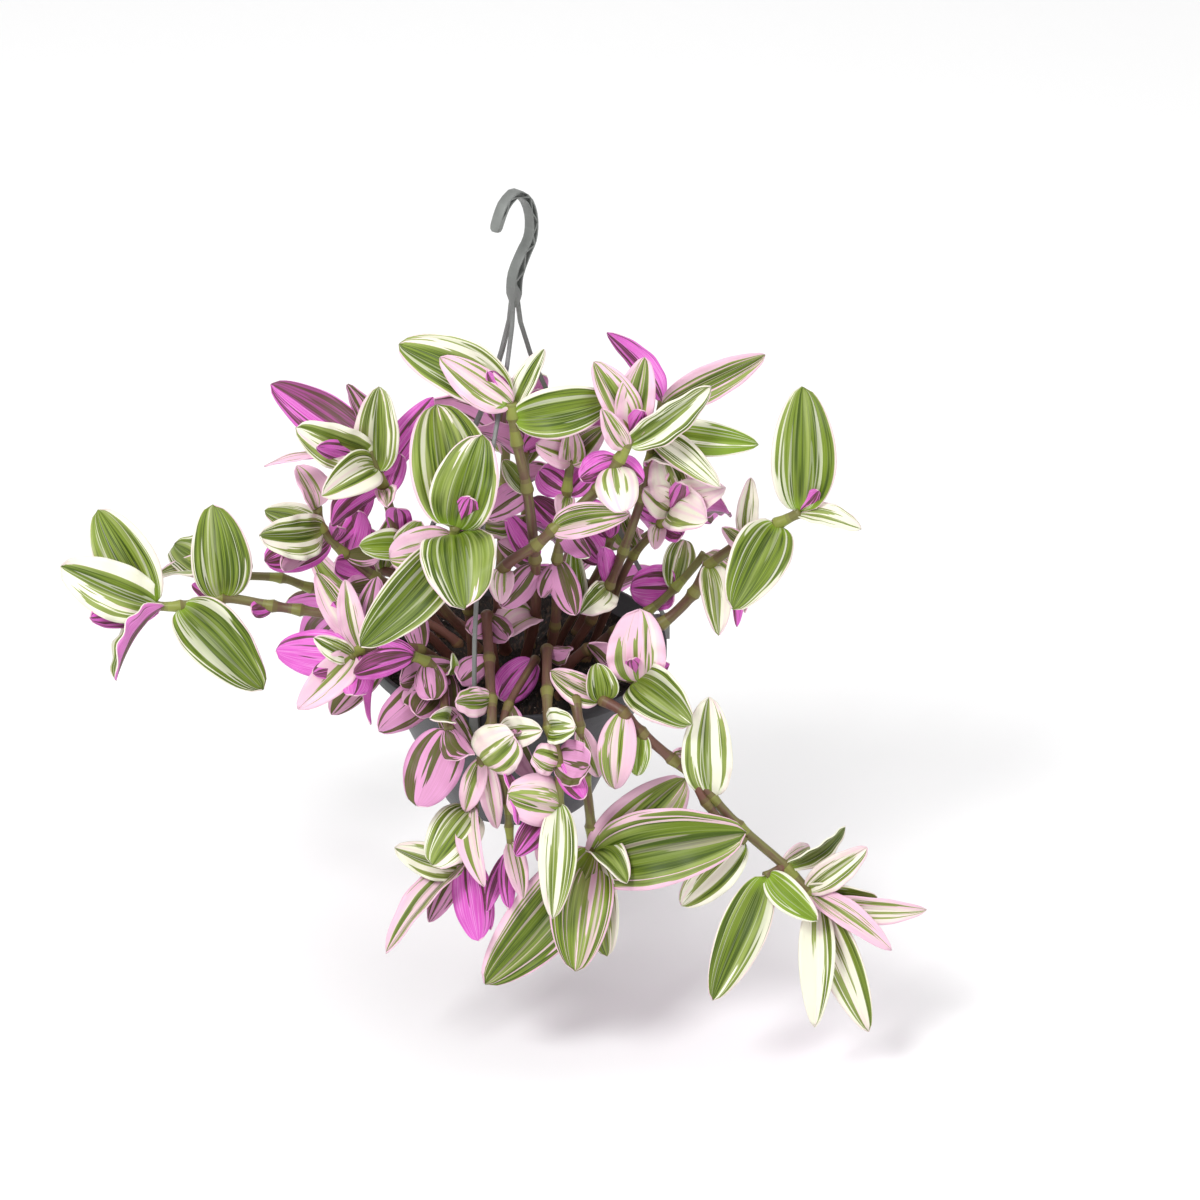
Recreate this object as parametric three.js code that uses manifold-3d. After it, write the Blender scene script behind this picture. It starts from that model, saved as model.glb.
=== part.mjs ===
// Tradescantia in a hanging pot with a moulded hook hanger, in millimetres, +Z up.
// It is modelled with the middle of the pot's rim at zero, then moved so that the hook's bearing point
// is the origin.
import * as THREE from 'three';
import { mergeVertices } from 'three/addons/utils/BufferGeometryUtils.js';
import Module from 'manifold-3d';

const wasm = await Module();
wasm.setup();

// Pot
const RIM_RADIUS = 75;
const BASE_RADIUS = 38.5;
const POT_HEIGHT = 84;
const LIP_HEIGHT = 6.5;
const LIP_WIDTH = 3.4;
const LIP_ROUND = 0.7;
const POT_WALL = 1.9;
const BASE_ROUND = 1;
const POT_SIDES = 36;
const DRAIN_RADIUS = 3;
const DRAIN_CIRCLE = 24;
const DRAIN_COUNT = 6;
const DRAIN_SIDES = 6;

// Soil
const SOIL_LEVEL = -9;
const SOIL_LUMP = 1.6;
const SOIL_EDGE_DROP = 3;
const SOIL_CLEARANCE = 0.7;
const SOIL_RINGS = 2;
const SOIL_SIDES = 12;
const SOIL_BOTTOM = -60;
const STEM_FOOT = -26;

// Hanger
const HOOK_TURN = 50;
const HOOK_DEPTH = 5.6;
const HOOK_CURVE_STEPS = 2;
const HOOK_END_SIDES = 10;
const HUB_TAPER = 12;
const POCKET_COUNT = 11;
const POCKET_START = 0.12;
const POCKET_PITCH = 0.075;
const POCKET_DEPTH = 2.4;
const POCKET_SPREAD = 0.75;
const FLANGE = 0.7;
const LEG_WIDTH = 1.8;
const LEG_DEPTH = 2.2;
const LEG_STEPS = 11;
const CLIP_WIDTH = 4.4;
const CLIP_REACH = 1.6;
const CLIP_WALL = 3.4;
const CLIP_LIP = 1.6;
const CLIP_TOP = 4.4;

// Plant: a blade's outline is set by where it is widest, how full a slim and a broad one are and how blunt
// its tip is, and a longer blade has more rows along it.
const BLADE_THICKNESS = 0.8;
const LEAF_BELLY = 0.84;
const SLIM_LEAF = 0.68;
const BROAD_LEAF = 0.34;
const LEAF_TIP = 0.03;
const NARROW_LEAF = 24;
const MIDDLE_LEAF = 38;
const LONG_LEAF = 68;
const SHORT_LEAF_ROWS = [0, 0.45, 1];
const MIDDLE_LEAF_ROWS = [0, 0.26, 0.64, 1];
const LONG_LEAF_ROWS = [0, 0.18, 0.45, 0.74, 1];
const LEAF_SPACING = 2;
const SMOOTHING = 0.3;
const STEM_SIDES = 4;
const STEM_STEP = 22;
const GAP = 0.3;

// The stems are written down as seen from one side and a little above, across, up and near, at this view.
const VIEW_ELEVATION = THREE.MathUtils.degToRad(29);
const VIEW_DISTANCE = 3000;
const VIEW_ACROSS = 41.5;
const VIEW_UP = 21;

// Each joint is across, up, near. Each leaf is the joint it grows from, its tip's across, up and near, its
// width, the turn of its upper face away from the viewer in degrees, the rise of its back and the lift of its
// edges.
const SHOOTS = {
  // Long stem that leaves the pot low on the left, behind the other one.
  stem_left_rear: {
    side: 0,
    stems: [
      {
        radius: 2.3,
        root: [-30, 14],
        joints: [
          [-52, 13, -14], [-76, 20, -14], [-103, 27, -8], [-118, 32, -2], [-138, 33, 2],
          [-148, 32, 3],
        ],
        leaves: [
          [4, -141, 45, 8, 12, 20, 2, 2],
          [5, -180, 34, -4, 20, 60, 3, 3],
          [5, -172, 50, -22, 24, 20, 4, 3],
          [1, -92, 6, -30, 22, 20, 4, 3],
        ],
      },
    ],
  },
  // Long stem that leaves the pot low on the left, in front.
  stem_left_front: {
    side: 0,
    stems: [
      {
        radius: 2.6,
        root: [-34, 0],
        joints: [
          [-56, 11, 20], [-82, 12, 22], [-108, 16, 22], [-122, 18, 22], [-147, 22, 22],
          [-168, 18, 22], [-182, 18, 22],
        ],
        leaves: [
          [4, -152, 68, 36, 30, 0, 6, 4],
          [4, -163, 29, 30, 8, 180, 1, 2],
          [3, -133, 16, 29, 9, 180, 1, 3],
          [5, -128, -23, 42, 31, 0, 6, 5],
          [6, -210, 66, 22, 30, -10, 5, 5],
          [6, -228, 38, 32, 29, 5, 5, 4],
          [6, -214, 12, 38, 17, 180, 3, 4],
          [6, -202, -18, 36, 24, 85, 4, 7],
        ],
      },
    ],
  },
  // Stem up to the left that carries the lower of the two left heads.
  stem_left_up: {
    side: 0,
    stems: [
      {
        radius: 2.4,
        root: [-22, 22],
        joints: [
          [-46, 20, -14], [-70, 32, 0], [-86, 44, 10], [-97, 56, 20], [-100, 67, 28],
        ],
        leaves: [
          [3, -128, 53, 42, 23, -10, 4, 4],
          [3, -126, 66, 20, 16, 10, 3, 3],
          [4, -110, 88, 34, 17, 30, 3, 5],
          [3, -119, 37, 38, 15, 150, 3, 3],
          [3, -126, 40, 22, 22, 180, 3, 4],
          [3, -89, 58, 36, 9, 180, 1, 3],
          [2, -66, 47, 30, 14, 160, 3, 3],
          [1, -92, 40, 18, 15, 180, 3, 3],
          [1, -86, 27, 14, 10, 180, 2, 2],
          [2, -78, 66, 24, 13, 170, 3, 3],
          [3, -72, 76, 24, 14, 180, 3, 3],
        ],
      },
    ],
  },
  // Stem up to the left that carries the higher left head.
  stem_left_top: {
    side: 0,
    stems: [
      {
        radius: 2.6,
        root: [-20, 8],
        joints: [
          [-41, 22, 18], [-58, 50, 34], [-67, 78, 44], [-74, 96, 52],
        ],
        leaves: [
          [3, -122, 129, 42, 25, 170, 5, 4],
          [3, -110, 107, 66, 23, -15, 4, 3],
          [3, -84, 129, 50, 14, 150, 2, 4],
          [3, -101, 98, 76, 11, 170, 2, 3],
          [3, -126, 91, 58, 13, 70, 3, 2],
          [3, -96, 74, 78, 21, 0, 4, 5],
          [3, -69, 127, 62, 23, -10, 3, 4],
          [3, -42, 122, 40, 16, 180, 3, 3],
          [2, -94, 59, 64, 15, 150, 5, 4],
          [2, -65, 69, 66, 11, 0, 1, 2],
          [1, -60, 68, 56, 13, 170, 3, 3],
          [1, -78, 48, 46, 16, 0, 3, 3],
          [2, -58, 94, 46, 13, 180, 3, 3],
          [1, -48, 60, 44, 16, 0, 3, 3],
        ],
      },
    ],
  },
  // Head in front on the left, with the largest upright leaves.
  stem_front_head: {
    side: 0,
    stems: [
      {
        radius: 2.6,
        root: [-22, -6],
        joints: [
          [-24, 16, 28], [-28, 38, 68], [-31, 51, 90], [-31, 58, 98],
        ],
        leaves: [
          [3, -40, 119, 90, 40, 0, 6, 5],
          [3, -18, 103, 112, 32, 0, 6, 4],
          [3, -23, 73, 118, 12, 180, 1, 3],
          [3, -26, 18, 122, 37, 0, 8, 3],
          [2, -78, -2, 102, 28, 0, 6, 4],
          [2, -64, 42, 84, 24, 0, 5, 4],
        ],
      },
    ],
  },
  // Tallest stem, between the legs of the hanger.
  stem_top: {
    side: 0,
    stems: [
      {
        radius: 2.7,
        root: [4, -4],
        joints: [
          [9, 12, 20], [9, 41, 54], [5, 76, 80], [0, 99, 92], [-2, 112, 96],
          [-3, 120, 99],
        ],
        leaves: [
          [5, -59, 150, 94, 29, 10, 5, 6],
          [5, -38, 142, 110, 19, 0, 3, 5],
          [5, -15, 136, 114, 9, 180, 1, 3],
          [5, 13, 147, 94, 12, -20, 2, 3],
          [4, 47, 121, 94, 25, 5, 8, 4],
          [2, -15, 63, 70, 16, 180, 2, 2],
          [2, -7, 91, 76, 10, 0, 2, 2],
          [0, -12, 2, 40, 20, 30, 5, 6],
          [1, -5, 64, 42, 13, 180, 3, 3],
          [1, -9, 50, 40, 14, 180, 3, 3],
          [1, -8, 17, 58, 15, 180, 3, 3],
        ],
      },
    ],
  },
  // Thick stem that crosses to the pink head on the upper right.
  stem_pink_head: {
    side: 0,
    stems: [
      {
        radius: 2.8,
        root: [-6, 6],
        joints: [
          [-9, 14, 26], [-7, 36, 62], [9, 48, 72], [18, 56, 76], [40, 76, 82],
          [51, 91, 87], [58, 104, 92],
        ],
        leaves: [
          [6, 39, 140, 100, 19, 10, 3, 5],
          [6, 64, 142, 98, 19, 0, 3, 5],
          [6, 63, 117, 110, 9, 180, 1, 3],
          [6, 97, 127, 104, 19, 30, 4, 5],
          [6, 43, 116, 108, 12, 0, 2, 2],
          [5, 31, 82, 92, 14, 170, 3, 3],
          [5, 63, 80, 80, 13, 180, 2, 2],
          [5, 53, 66, 102, 21, 0, 3, -3],
          [3, 55, 64, 92, 17, 0, 3, 4],
          [1, -8, 20, 74, 13, 0, 2, 2],
        ],
      },
    ],
  },
  // Stem behind it with a striped pink head.
  stem_middle: {
    side: 0,
    stems: [
      {
        radius: 2.4,
        root: [14, -10],
        joints: [
          [19, 8, 26], [20, 41, 48], [24, 60, 57], [25, 76, 63], [27, 92, 70],
        ],
        leaves: [
          [4, 10, 99, 82, 16, 0, 2, 4],
          [4, 43, 107, 80, 15, 0, 2, 5],
          [4, 27, 107, 86, 13, 0, 1, 4],
          [3, 11, 86, 68, 16, 180, 3, 3],
          [3, 41, 92, 62, 15, 180, 3, 3],
          [3, 22, 62, 74, 10, 0, 2, 2],
          [1, 29, 13, 62, 15, 170, 2, 2],
          [1, 12, 22, 58, 9, 180, 1, 2],
          [2, 36, 42, 60, 12, 160, 3, 3],
          [2, 8, 72, 54, 13, 180, 3, 3],
          [2, 42, 70, 50, 14, 180, 3, 3],
        ],
      },
    ],
  },
  // Stem to the upper right with the long pale leaves.
  stem_right_top: {
    side: 0,
    stems: [
      {
        radius: 2.4,
        root: [26, 0],
        joints: [
          [37, 11, 12], [46, 28, 24], [53, 45, 36], [62, 71, 50], [66, 89, 60],
          [69, 106, 67], [73, 120, 71],
        ],
        leaves: [
          [6, 46, 155, 66, 13, 160, 6, 3],
          [6, 124, 143, 78, 18, 10, 6, 4],
          [5, 120, 99, 80, 18, 0, 4, 3],
          [5, 84, 119, 62, 11, 0, 2, 2],
          [4, 89, 86, 74, 19, -40, 9, 4],
          [5, 101, 78, 86, 15, 0, 5, 4],
          [1, 43, 48, 44, 10, 180, 2, 2],
          [3, 44, 88, 40, 15, 180, 3, 3],
          [3, 80, 62, 40, 13, 180, 3, 3],
          [1, 33, 15, 46, 16, 0, 2, 3],
        ],
      },
    ],
  },
  // Short stem behind, magenta leaf backs only.
  stem_right_inner: {
    side: 0,
    stems: [
      {
        radius: 2.2,
        root: [20, 10],
        joints: [
          [31, 18, 4], [43, 40, 20], [47, 52, 28],
        ],
        leaves: [
          [2, 43, 66, 38, 15, 180, 3, 3],
          [0, 28, 48, 20, 12, 0, 4, 3],
          [1, 26, 62, 10, 16, 180, 3, 3],
        ],
      },
    ],
  },
  // White and pink head on the right.
  stem_white_head: {
    side: 0,
    stems: [
      {
        radius: 2.2,
        root: [38, 12],
        joints: [
          [48, 22, 4], [58, 43, 24], [72, 59, 44], [80, 72, 56],
        ],
        leaves: [
          [3, 72, 94, 66, 21, 0, 2, 4],
          [3, 91, 93, 64, 19, 0, 2, 3],
          [3, 103, 77, 76, 18, 0, 2, 4],
          [3, 94, 62, 78, 24, 0, 3, 3],
          [3, 64, 76, 66, 16, 0, 2, 2],
          [3, 83, 80, 86, 10, 180, 1, 3],
          [2, 83, 53, 56, 11, 180, 1, 2],
          [2, 69, 47, 52, 9, 0, 1, 2],
        ],
      },
    ],
  },
  // Thick stem over the rim on the right, out to the far right head.
  stem_far_right: {
    side: 0,
    stems: [
      {
        radius: 2.8,
        root: [24, -14],
        joints: [
          [35, -4, 14], [48, -3, 16], [72, 9, 18], [88, 24, 24], [96, 38, 32],
          [114, 51, 44], [130, 59, 54], [142, 65, 60],
        ],
        leaves: [
          [7, 143, 127, 72, 32, 0, 5, 5],
          [7, 172, 57, 68, 13, -30, 2, 3],
          [7, 151, 76, 72, 8, 180, 1, 3],
          [6, 108, 17, 78, 29, 0, 6, 4],
          [5, 117, 82, 52, 11, 10, 2, 3],
          [5, 103, 57, 58, 9, 0, 2, 2],
          [4, 101, 5, 54, 16, 0, 4, 3],
          [5, 114, 15, 58, 8, 0, 2, 2],
          [5, 110, 7, 52, 7, 180, 2, 2],
        ],
      },
    ],
  },
  // Cut stem beside it.
  stem_right_cut: {
    side: 0,
    stems: [
      {
        radius: 2.3,
        root: [34, -2],
        joints: [
          [48, 5, 2], [65, 15, 6], [79, 27, 12], [94, 44, 18],
        ],
        leaves: [
          [2, 57, 27, 4, 23, 180, 2, 3],
          [2, 84, 52, -8, 16, 0, 3, 3],
          [3, 112, 30, 4, 18, 0, 3, 3],
        ],
      },
    ],
  },
  // Short stem over the rim on the right with the upright pink leaf.
  stem_right_rim: {
    side: 0,
    stems: [
      {
        radius: 2.3,
        root: [40, -22],
        joints: [
          [50, -17, 42], [61, -20, 58],
        ],
        leaves: [
          [1, 61, 16, 68, 29, 0, 5, 5],
          [1, 57, -8, 76, 8, 180, 1, 3],
          [0, 36, 0, 50, 13, 150, 2, 3],
          [0, 57, 10, 52, 14, 180, 3, 3],
          [0, 72, -14, 56, 9, 180, 1, 3],
          [1, 86, -40, 82, 26, 0, 6, 4],
          [1, 76, -11, 50, 9, 180, 1, 2],
        ],
      },
    ],
  },
  // Long stem that trails to the lower right.
  stem_trailing_right: {
    side: 0,
    stems: [
      {
        radius: 2.6,
        root: [30, -30],
        joints: [
          [38, -24, 50], [43, -29, 60], [53, -35, 64], [62, -45, 63], [77, -58, 61],
          [87, -66, 58], [97, -77, 54], [111, -92, 48], [134, -112, 40], [145, -124, 36],
          [151, -130, 34],
        ],
        leaves: [
          [1, 40, -11, 68, 16, 0, 2, 3],
          [1, 17, -15, 64, 16, 0, 3, 4],
          [0, 47, -11, 60, 12, 150, 2, 3],
          [2, 49, -74, 58, 19, 0, 5, 4],
          [3, 60, -67, 60, 12, 0, 2, 2],
          [4, 85, -57, 56, 9, 0, 1, 2],
          [6, 96, -28, 66, 25, 0, 5, 5],
          [8, 165, -93, 30, 12, 40, 5, 3],
          [8, 147, -102, 22, 9, 0, 2, 2],
          [9, 175, -103, 46, 16, 10, 4, 4],
          [9, 180, -128, 40, 12, 20, 2, 3],
          [10, 204, -135, 48, 15, 20, 2, 3],
          [10, 149, -192, 48, 18, 0, 6, 5],
          [10, 176, -195, 36, 21, 0, 6, 5],
          [10, 187, -153, 54, 14, -20, 4, 4],
        ],
      },
      {
        radius: 2,
        joints: [
          [87, -66, 58], [94, -80, 57], [105, -92, 52], [114, -100, 49],
        ],
        leaves: [
          [3, 82, -132, 42, 21, 0, 6, 3],
        ],
      },
      {
        radius: 2,
        joints: [
          [134, -112, 40], [124, -117, 46],
        ],
        leaves: [
          [1, 98, -179, 54, 24, 0, 8, 4],
          [1, 150, -139, 58, 16, 0, 4, 3],
        ],
      },
    ],
  },
  // Stem over the rim to the large low leaves on the right.
  stem_low_right: {
    side: 0,
    stems: [
      {
        radius: 2.6,
        root: [22, -38],
        joints: [
          [26, -24, 53], [29, -29, 64], [31, -42, 67], [34, -66, 56], [37, -92, 44],
          [38, -113, 36],
        ],
        leaves: [
          [5, 84, -69, 42, 34, 0, 6, 5],
          [5, 113, -96, 66, 39, 0, 8, 5],
          [5, 29, -164, 56, 31, 0, 7, 4],
          [5, 45, -157, 42, 22, 0, 6, 4],
          [5, 55, -120, 60, 17, -40, 5, 6],
          [5, -16, -171, 44, 35, 0, 7, 5],
          [2, 41, -68, 58, 11, 0, 2, 3],
        ],
      },
    ],
  },
  // Stem over the front of the rim to the pink domed leaf.
  stem_front_dome: {
    side: 0,
    stems: [
      {
        radius: 2.6,
        root: [14, -24],
        joints: [
          [15, -4, 42], [15, -24, 66], [16, -42, 77], [21, -60, 73], [21, -82, 63],
        ],
        leaves: [
          [4, -4, -76, 80, 26, 0, 7, -5],
          [4, 18, -138, 72, 19, 0, 6, 4],
          [4, -1, -107, 72, 15, 180, 3, 3],
          [4, 10, -110, 56, 9, 0, 1, 1],
          [3, 9, -56, 84, 16, 0, 3, -3],
          [0, 27, -5, 56, 11, 150, 2, 3],
          [3, 37, -62, 92, 23, 180, 3, -3],
          [3, 34, -79, 88, 12, 180, 2, 4],
          [2, 29, -42, 86, 18, 0, 3, 3],
        ],
      },
    ],
  },
  // Thin stem beside it with drooping magenta leaves.
  stem_front_thin: {
    side: 0,
    stems: [
      {
        radius: 2,
        root: [4, -22],
        joints: [
          [9, -9, 40], [-4, -31, 64], [-8, -46, 72], [-8, -62, 68], [-5, -80, 58],
          [-4, -92, 52], [-3, -104, 48],
        ],
        leaves: [
          [6, -15, -135, 60, 8, 180, 2, 2],
          [6, -4, -134, 64, 9, 170, 2, 3],
          [6, 3, -128, 58, 11, 0, 3, 3],
          [0, -9, -29, 50, 19, 180, 4, 4],
          [3, -1, -92, 76, 10, 120, -6, 2],
          [2, 12, -44, 86, 16, 0, 2, 2],
          [1, 0, -46, 84, 11, 180, 2, 2],
          [2, 9, -70, 60, 13, 180, 3, 3],
        ],
      },
    ],
  },
  // Stem over the front of the rim to the low left leaves.
  stem_front_low: {
    side: 0,
    stems: [
      {
        radius: 2.6,
        root: [-10, -26],
        joints: [
          [-15, 13, 38], [-14, -8, 52], [-13, -28, 68], [-13, -42, 75], [-18, -60, 67],
          [-22, -84, 55], [-26, -112, 44],
        ],
        leaves: [
          [5, -42, -111, 70, 26, 0, 6, -3],
          [5, -17, -122, 70, 13, 20, 5, 5],
          [6, -61, -103, 52, 18, 0, 4, 5],
          [6, -66, -155, 58, 16, 40, 5, 5],
          [6, -44, -140, 46, 13, 180, 3, 3],
          [6, -19, -150, 62, 19, 180, 5, 4],
          [6, -13, -144, 50, 11, 180, 3, 3],
          [4, -2, -47, 88, 27, 0, 4, -4],
          [4, -26, -85, 62, 12, 0, 2, 3],
          [4, -10, -94, 56, 11, 0, 2, 3],
          [2, -30, -30, 96, 15, 0, 2, -3],
          [0, -23, 3, 54, 12, 180, 1, 2],
          [1, -29, -20, 74, 14, 180, 2, 3],
          [0, -4, 1, 52, 13, 180, 2, 2],
        ],
      },
    ],
  },
  // Short stem over the rim in front on the left.
  stem_front_rim: {
    side: 0,
    stems: [
      {
        radius: 2.4,
        root: [-22, -28],
        joints: [
          [-30, -13, 44], [-37, -16, 61], [-45, -10, 66], [-52, -7, 69],
        ],
        leaves: [
          [3, -82, -16, 90, 14, 170, 3, 3],
          [3, -72, 1, 76, 10, 180, 2, 2],
          [1, -32, -6, 66, 7, 60, 3, 2],
          [1, -57, -31, 70, 15, 180, 3, 3],
          [2, -42, -29, 80, 16, 180, 2, 3],
          [1, -51, -37, 78, 17, 180, 3, 3],
          [1, -35, -41, 76, 15, 180, 3, 3],
          [1, -70, -45, 84, 20, 180, 2, 4],
          [0, -60, -21, 68, 18, 180, 2, 3],
        ],
      },
      {
        radius: 2.2,
        joints: [
          [-37, -16, 61], [-36, -34, 76], [-34, -44, 80],
        ],
        leaves: [
          [2, -50, -82, 84, 28, 180, 6, 5],
          [2, -24, -57, 94, 15, 150, 4, 5],
          [2, -43, -38, 92, 9, 40, 3, 4],
          [1, -22, -54, 64, 13, 180, 3, 3],
        ],
      },
    ],
  },
  // Stem over the rim on the left to the magenta head.
  stem_left_low: {
    side: 0,
    stems: [
      {
        radius: 2.4,
        root: [-34, -16],
        joints: [
          [-48, -4, 40], [-66, -3, 54], [-78, -4, 64], [-84, -8, 70],
        ],
        leaves: [
          [2, -86, 31, 66, 13, 0, 2, 3],
          [2, -70, 32, 52, 17, 180, 3, 3],
          [2, -92, 20, 54, 17, 180, 3, 3],
          [2, -101, 35, 46, 15, 0, 3, 3],
          [3, -120, -4, 60, 24, 180, 4, 4],
          [3, -101, 2, 80, 12, 0, 2, 3],
          [3, -109, -33, 82, 18, 0, 4, 4],
          [3, -103, -16, 88, 10, 180, 2, 3],
          [3, -82, -28, 92, 14, 180, 3, 4],
          [1, -93, -36, 50, 20, 170, 4, 4],
          [1, -75, -41, 62, 8, 120, 3, 3],
          [0, -52, 16, 54, 13, 180, 2, 3],
        ],
      },
    ],
  },
  // Upright head on the far side.
  stem_far_head: {
    side: 180,
    stems: [
      {
        radius: 2.6,
        root: [10, -18],
        joints: [
          [8, 12, 32], [6, 40, 62], [4, 62, 82],
        ],
        leaves: [
          [2, 28, 112, 98, 28, 0, 5, 5],
          [2, -14, 110, 92, 23, 0, 4, 4],
          [2, 44, 76, 96, 24, 0, 5, 4],
          [2, 42, 30, 102, 24, 0, 6, 4],
          [2, -6, 20, 106, 25, 0, 7, 3],
          [2, 4, 80, 100, 9, 180, 1, 3],
          [1, -24, 52, 68, 18, 0, 4, 4],
          [1, 30, 28, 50, 16, 180, 4, 3],
        ],
      },
    ],
  },
  // Stem that trails over the far side of the rim.
  stem_far_trailing: {
    side: 180,
    stems: [
      {
        radius: 2.6,
        root: [-18, -22],
        joints: [
          [-24, -4, 44], [-28, -24, 66], [-32, -46, 70], [-36, -72, 60], [-40, -98, 48],
        ],
        leaves: [
          [4, -70, -92, 64, 28, 0, 6, 5],
          [4, -2, -108, 66, 28, 0, 6, 4],
          [4, -48, -156, 56, 26, 0, 7, 4],
          [4, -14, -138, 46, 18, 180, 4, 4],
          [3, -76, -58, 78, 22, 0, 5, 4],
          [3, 0, -66, 84, 20, 0, 4, 4],
          [2, -66, -26, 84, 20, 0, 4, 4],
          [1, -2, -12, 82, 20, 0, 4, 3],
        ],
      },
    ],
  },
  // Stem over the far side of the rim to the right as seen from there.
  stem_far_side: {
    side: 180,
    stems: [
      {
        radius: 2.5,
        root: [38, -24],
        joints: [
          [56, 0, 34], [68, 0, 42], [75, -18, 51], [84, -42, 54], [90, -62, 48],
        ],
        leaves: [
          [4, 122, -56, 56, 26, 0, 5, 5],
          [4, 112, -104, 58, 28, 0, 6, 4],
          [4, 74, -118, 56, 26, 0, 7, 4],
          [4, 98, -60, 68, 10, 180, 1, 3],
          [3, 56, -84, 68, 22, 0, 5, 4],
          [3, 106, -20, 66, 18, 180, 4, 3],
          [2, 92, 12, 64, 22, 0, 5, 4],
          [2, 54, -50, 80, 20, 0, 5, 4],
          [1, 60, 26, 62, 17, 180, 4, 3],
        ],
      },
    ],
  },
  // Stem that leans out on the far left as seen from there.
  stem_far_leaning: {
    side: 180,
    stems: [
      {
        radius: 2.5,
        root: [-30, -26],
        joints: [
          [-46, 4, 38], [-60, 10, 50], [-76, 14, 60], [-88, 10, 66],
        ],
        leaves: [
          [3, -110, 18, 66, 27, 0, 5, 5],
          [3, -92, 50, 52, 25, 0, 5, 4],
          [3, -102, -20, 84, 27, 0, 6, 4],
          [2, -62, 52, 62, 22, 0, 4, 4],
          [2, -74, -30, 84, 24, 0, 6, 4],
          [1, -50, 36, 60, 20, 180, 4, 4],
          [1, -44, -26, 78, 22, 0, 5, 4],
        ],
      },
    ],
  },
  // Tall stem on the far side.
  stem_far_tall: {
    side: 180,
    stems: [
      {
        radius: 2.5,
        root: [-6, -12],
        joints: [
          [-6, 22, 20], [-6, 62, 36], [-5, 98, 50],
        ],
        leaves: [
          [2, -58, 128, 50, 23, 0, 4, 5],
          [2, -16, 144, 58, 23, 0, 4, 5],
          [2, 22, 116, 52, 17, 0, 3, 4],
          [2, -58, 78, 84, 24, 0, 5, 4],
          [2, -20, 106, 78, 9, 180, 1, 3],
          [1, 22, 60, 34, 18, 180, 4, 3],
          [1, -34, 34, 46, 20, 0, 5, 4],
          [0, -36, 10, 46, 20, 180, 4, 3],
        ],
      },
    ],
  },
};

const COLOURS = {
  pot: 0x45474b,
  hanger: 0x7c807f,
  soil: 0x2e211b,
  plant: [0x7f9a4e, 0xb9799f, 0x93aa5c, 0xc491b4],
};

// A closed geometry as a solid: shared corners are merged and triangles of no area are left out.
function solid(geometry) {
  geometry.deleteAttribute('normal');
  geometry.deleteAttribute('uv');
  const merged = mergeVertices(geometry, 1e-4);
  const corners = merged.index.array;
  const kept = [];
  for (let i = 0; i < corners.length; i += 3) {
    const [a, b, c] = corners.slice(i, i + 3);
    if (a !== b && b !== c && c !== a) {
      kept.push(a, b, c);
    }
  }
  const vertProperties = new Float32Array(merged.getAttribute('position').array);
  const triVerts = new Uint32Array(kept);
  return new wasm.Manifold(new wasm.Mesh({ numProp: 3, vertProperties, triVerts }));
}

// The outer body alone: loose scraps and sealed hollows are dropped.
function mainBody(body) {
  return body.decompose().reduce((largest, piece) => (piece.volume() > largest.volume() ? piece : largest));
}

function named(name, body, colour, roughness) {
  const mesh = body.getMesh();
  const geometry = new THREE.BufferGeometry();
  const corners = new Float32Array(mesh.vertProperties);
  geometry.setAttribute('position', new THREE.BufferAttribute(corners, 3));
  geometry.setIndex(new THREE.BufferAttribute(new Uint32Array(mesh.triVerts), 1));
  geometry.computeVertexNormals();
  const material = new THREE.MeshStandardMaterial({ color: colour, roughness, metalness: 0 });
  const piece = new THREE.Mesh(geometry, material);
  piece.name = name;
  return piece;
}

// A solid turned from a profile of radius and height.
function turned(profile, sides) {
  const points = profile.map(([radius, height]) => new THREE.Vector2(radius, height));
  return solid(new THREE.LatheGeometry(points, sides).rotateX(Math.PI / 2));
}

// A round bar of one thickness along a smooth line through the points.
function tube(points, radius) {
  const path = new THREE.CatmullRomCurve3(points);
  const outline = [];
  for (let i = 0; i < STEM_SIDES; i += 1) {
    const angle = (i / STEM_SIDES) * 2 * Math.PI;
    outline.push(new THREE.Vector2(radius * Math.cos(angle), radius * Math.sin(angle)));
  }
  const steps = Math.max(points.length - 1, Math.round(path.getLength() / STEM_STEP));
  const options = { steps, bevelEnabled: false, extrudePath: path };
  return solid(new THREE.ExtrudeGeometry(new THREE.Shape(outline), options));
}

// A point turned about the pot's axis.
function turnedTo(point, side) {
  return point.applyAxisAngle(new THREE.Vector3(0, 0, 1), THREE.MathUtils.degToRad(side));
}

// A place seen at across, up and near, as a point round the pot's axis.
function place([across, up, near], side) {
  const shrink = 1 - near / VIEW_DISTANCE;
  const x = VIEW_ACROSS + (across - VIEW_ACROSS) * shrink;
  const rise = VIEW_UP + (up - VIEW_UP) * shrink;
  const y = rise * Math.sin(VIEW_ELEVATION) - near * Math.cos(VIEW_ELEVATION);
  const z = rise * Math.cos(VIEW_ELEVATION) + near * Math.sin(VIEW_ELEVATION);
  return turnedTo(new THREE.Vector3(x, y, z), side);
}

function towardViewer(side) {
  return turnedTo(new THREE.Vector3(0, -Math.cos(VIEW_ELEVATION), Math.sin(VIEW_ELEVATION)), side);
}

// ---- pot

// Radius of the pot's inner wall at a height.
function innerRadius(height) {
  const slope = (RIM_RADIUS - LIP_WIDTH - BASE_RADIUS) / (POT_HEIGHT - LIP_HEIGHT);
  return RIM_RADIUS - LIP_WIDTH - POT_WALL + slope * (height + LIP_HEIGHT);
}

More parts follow.
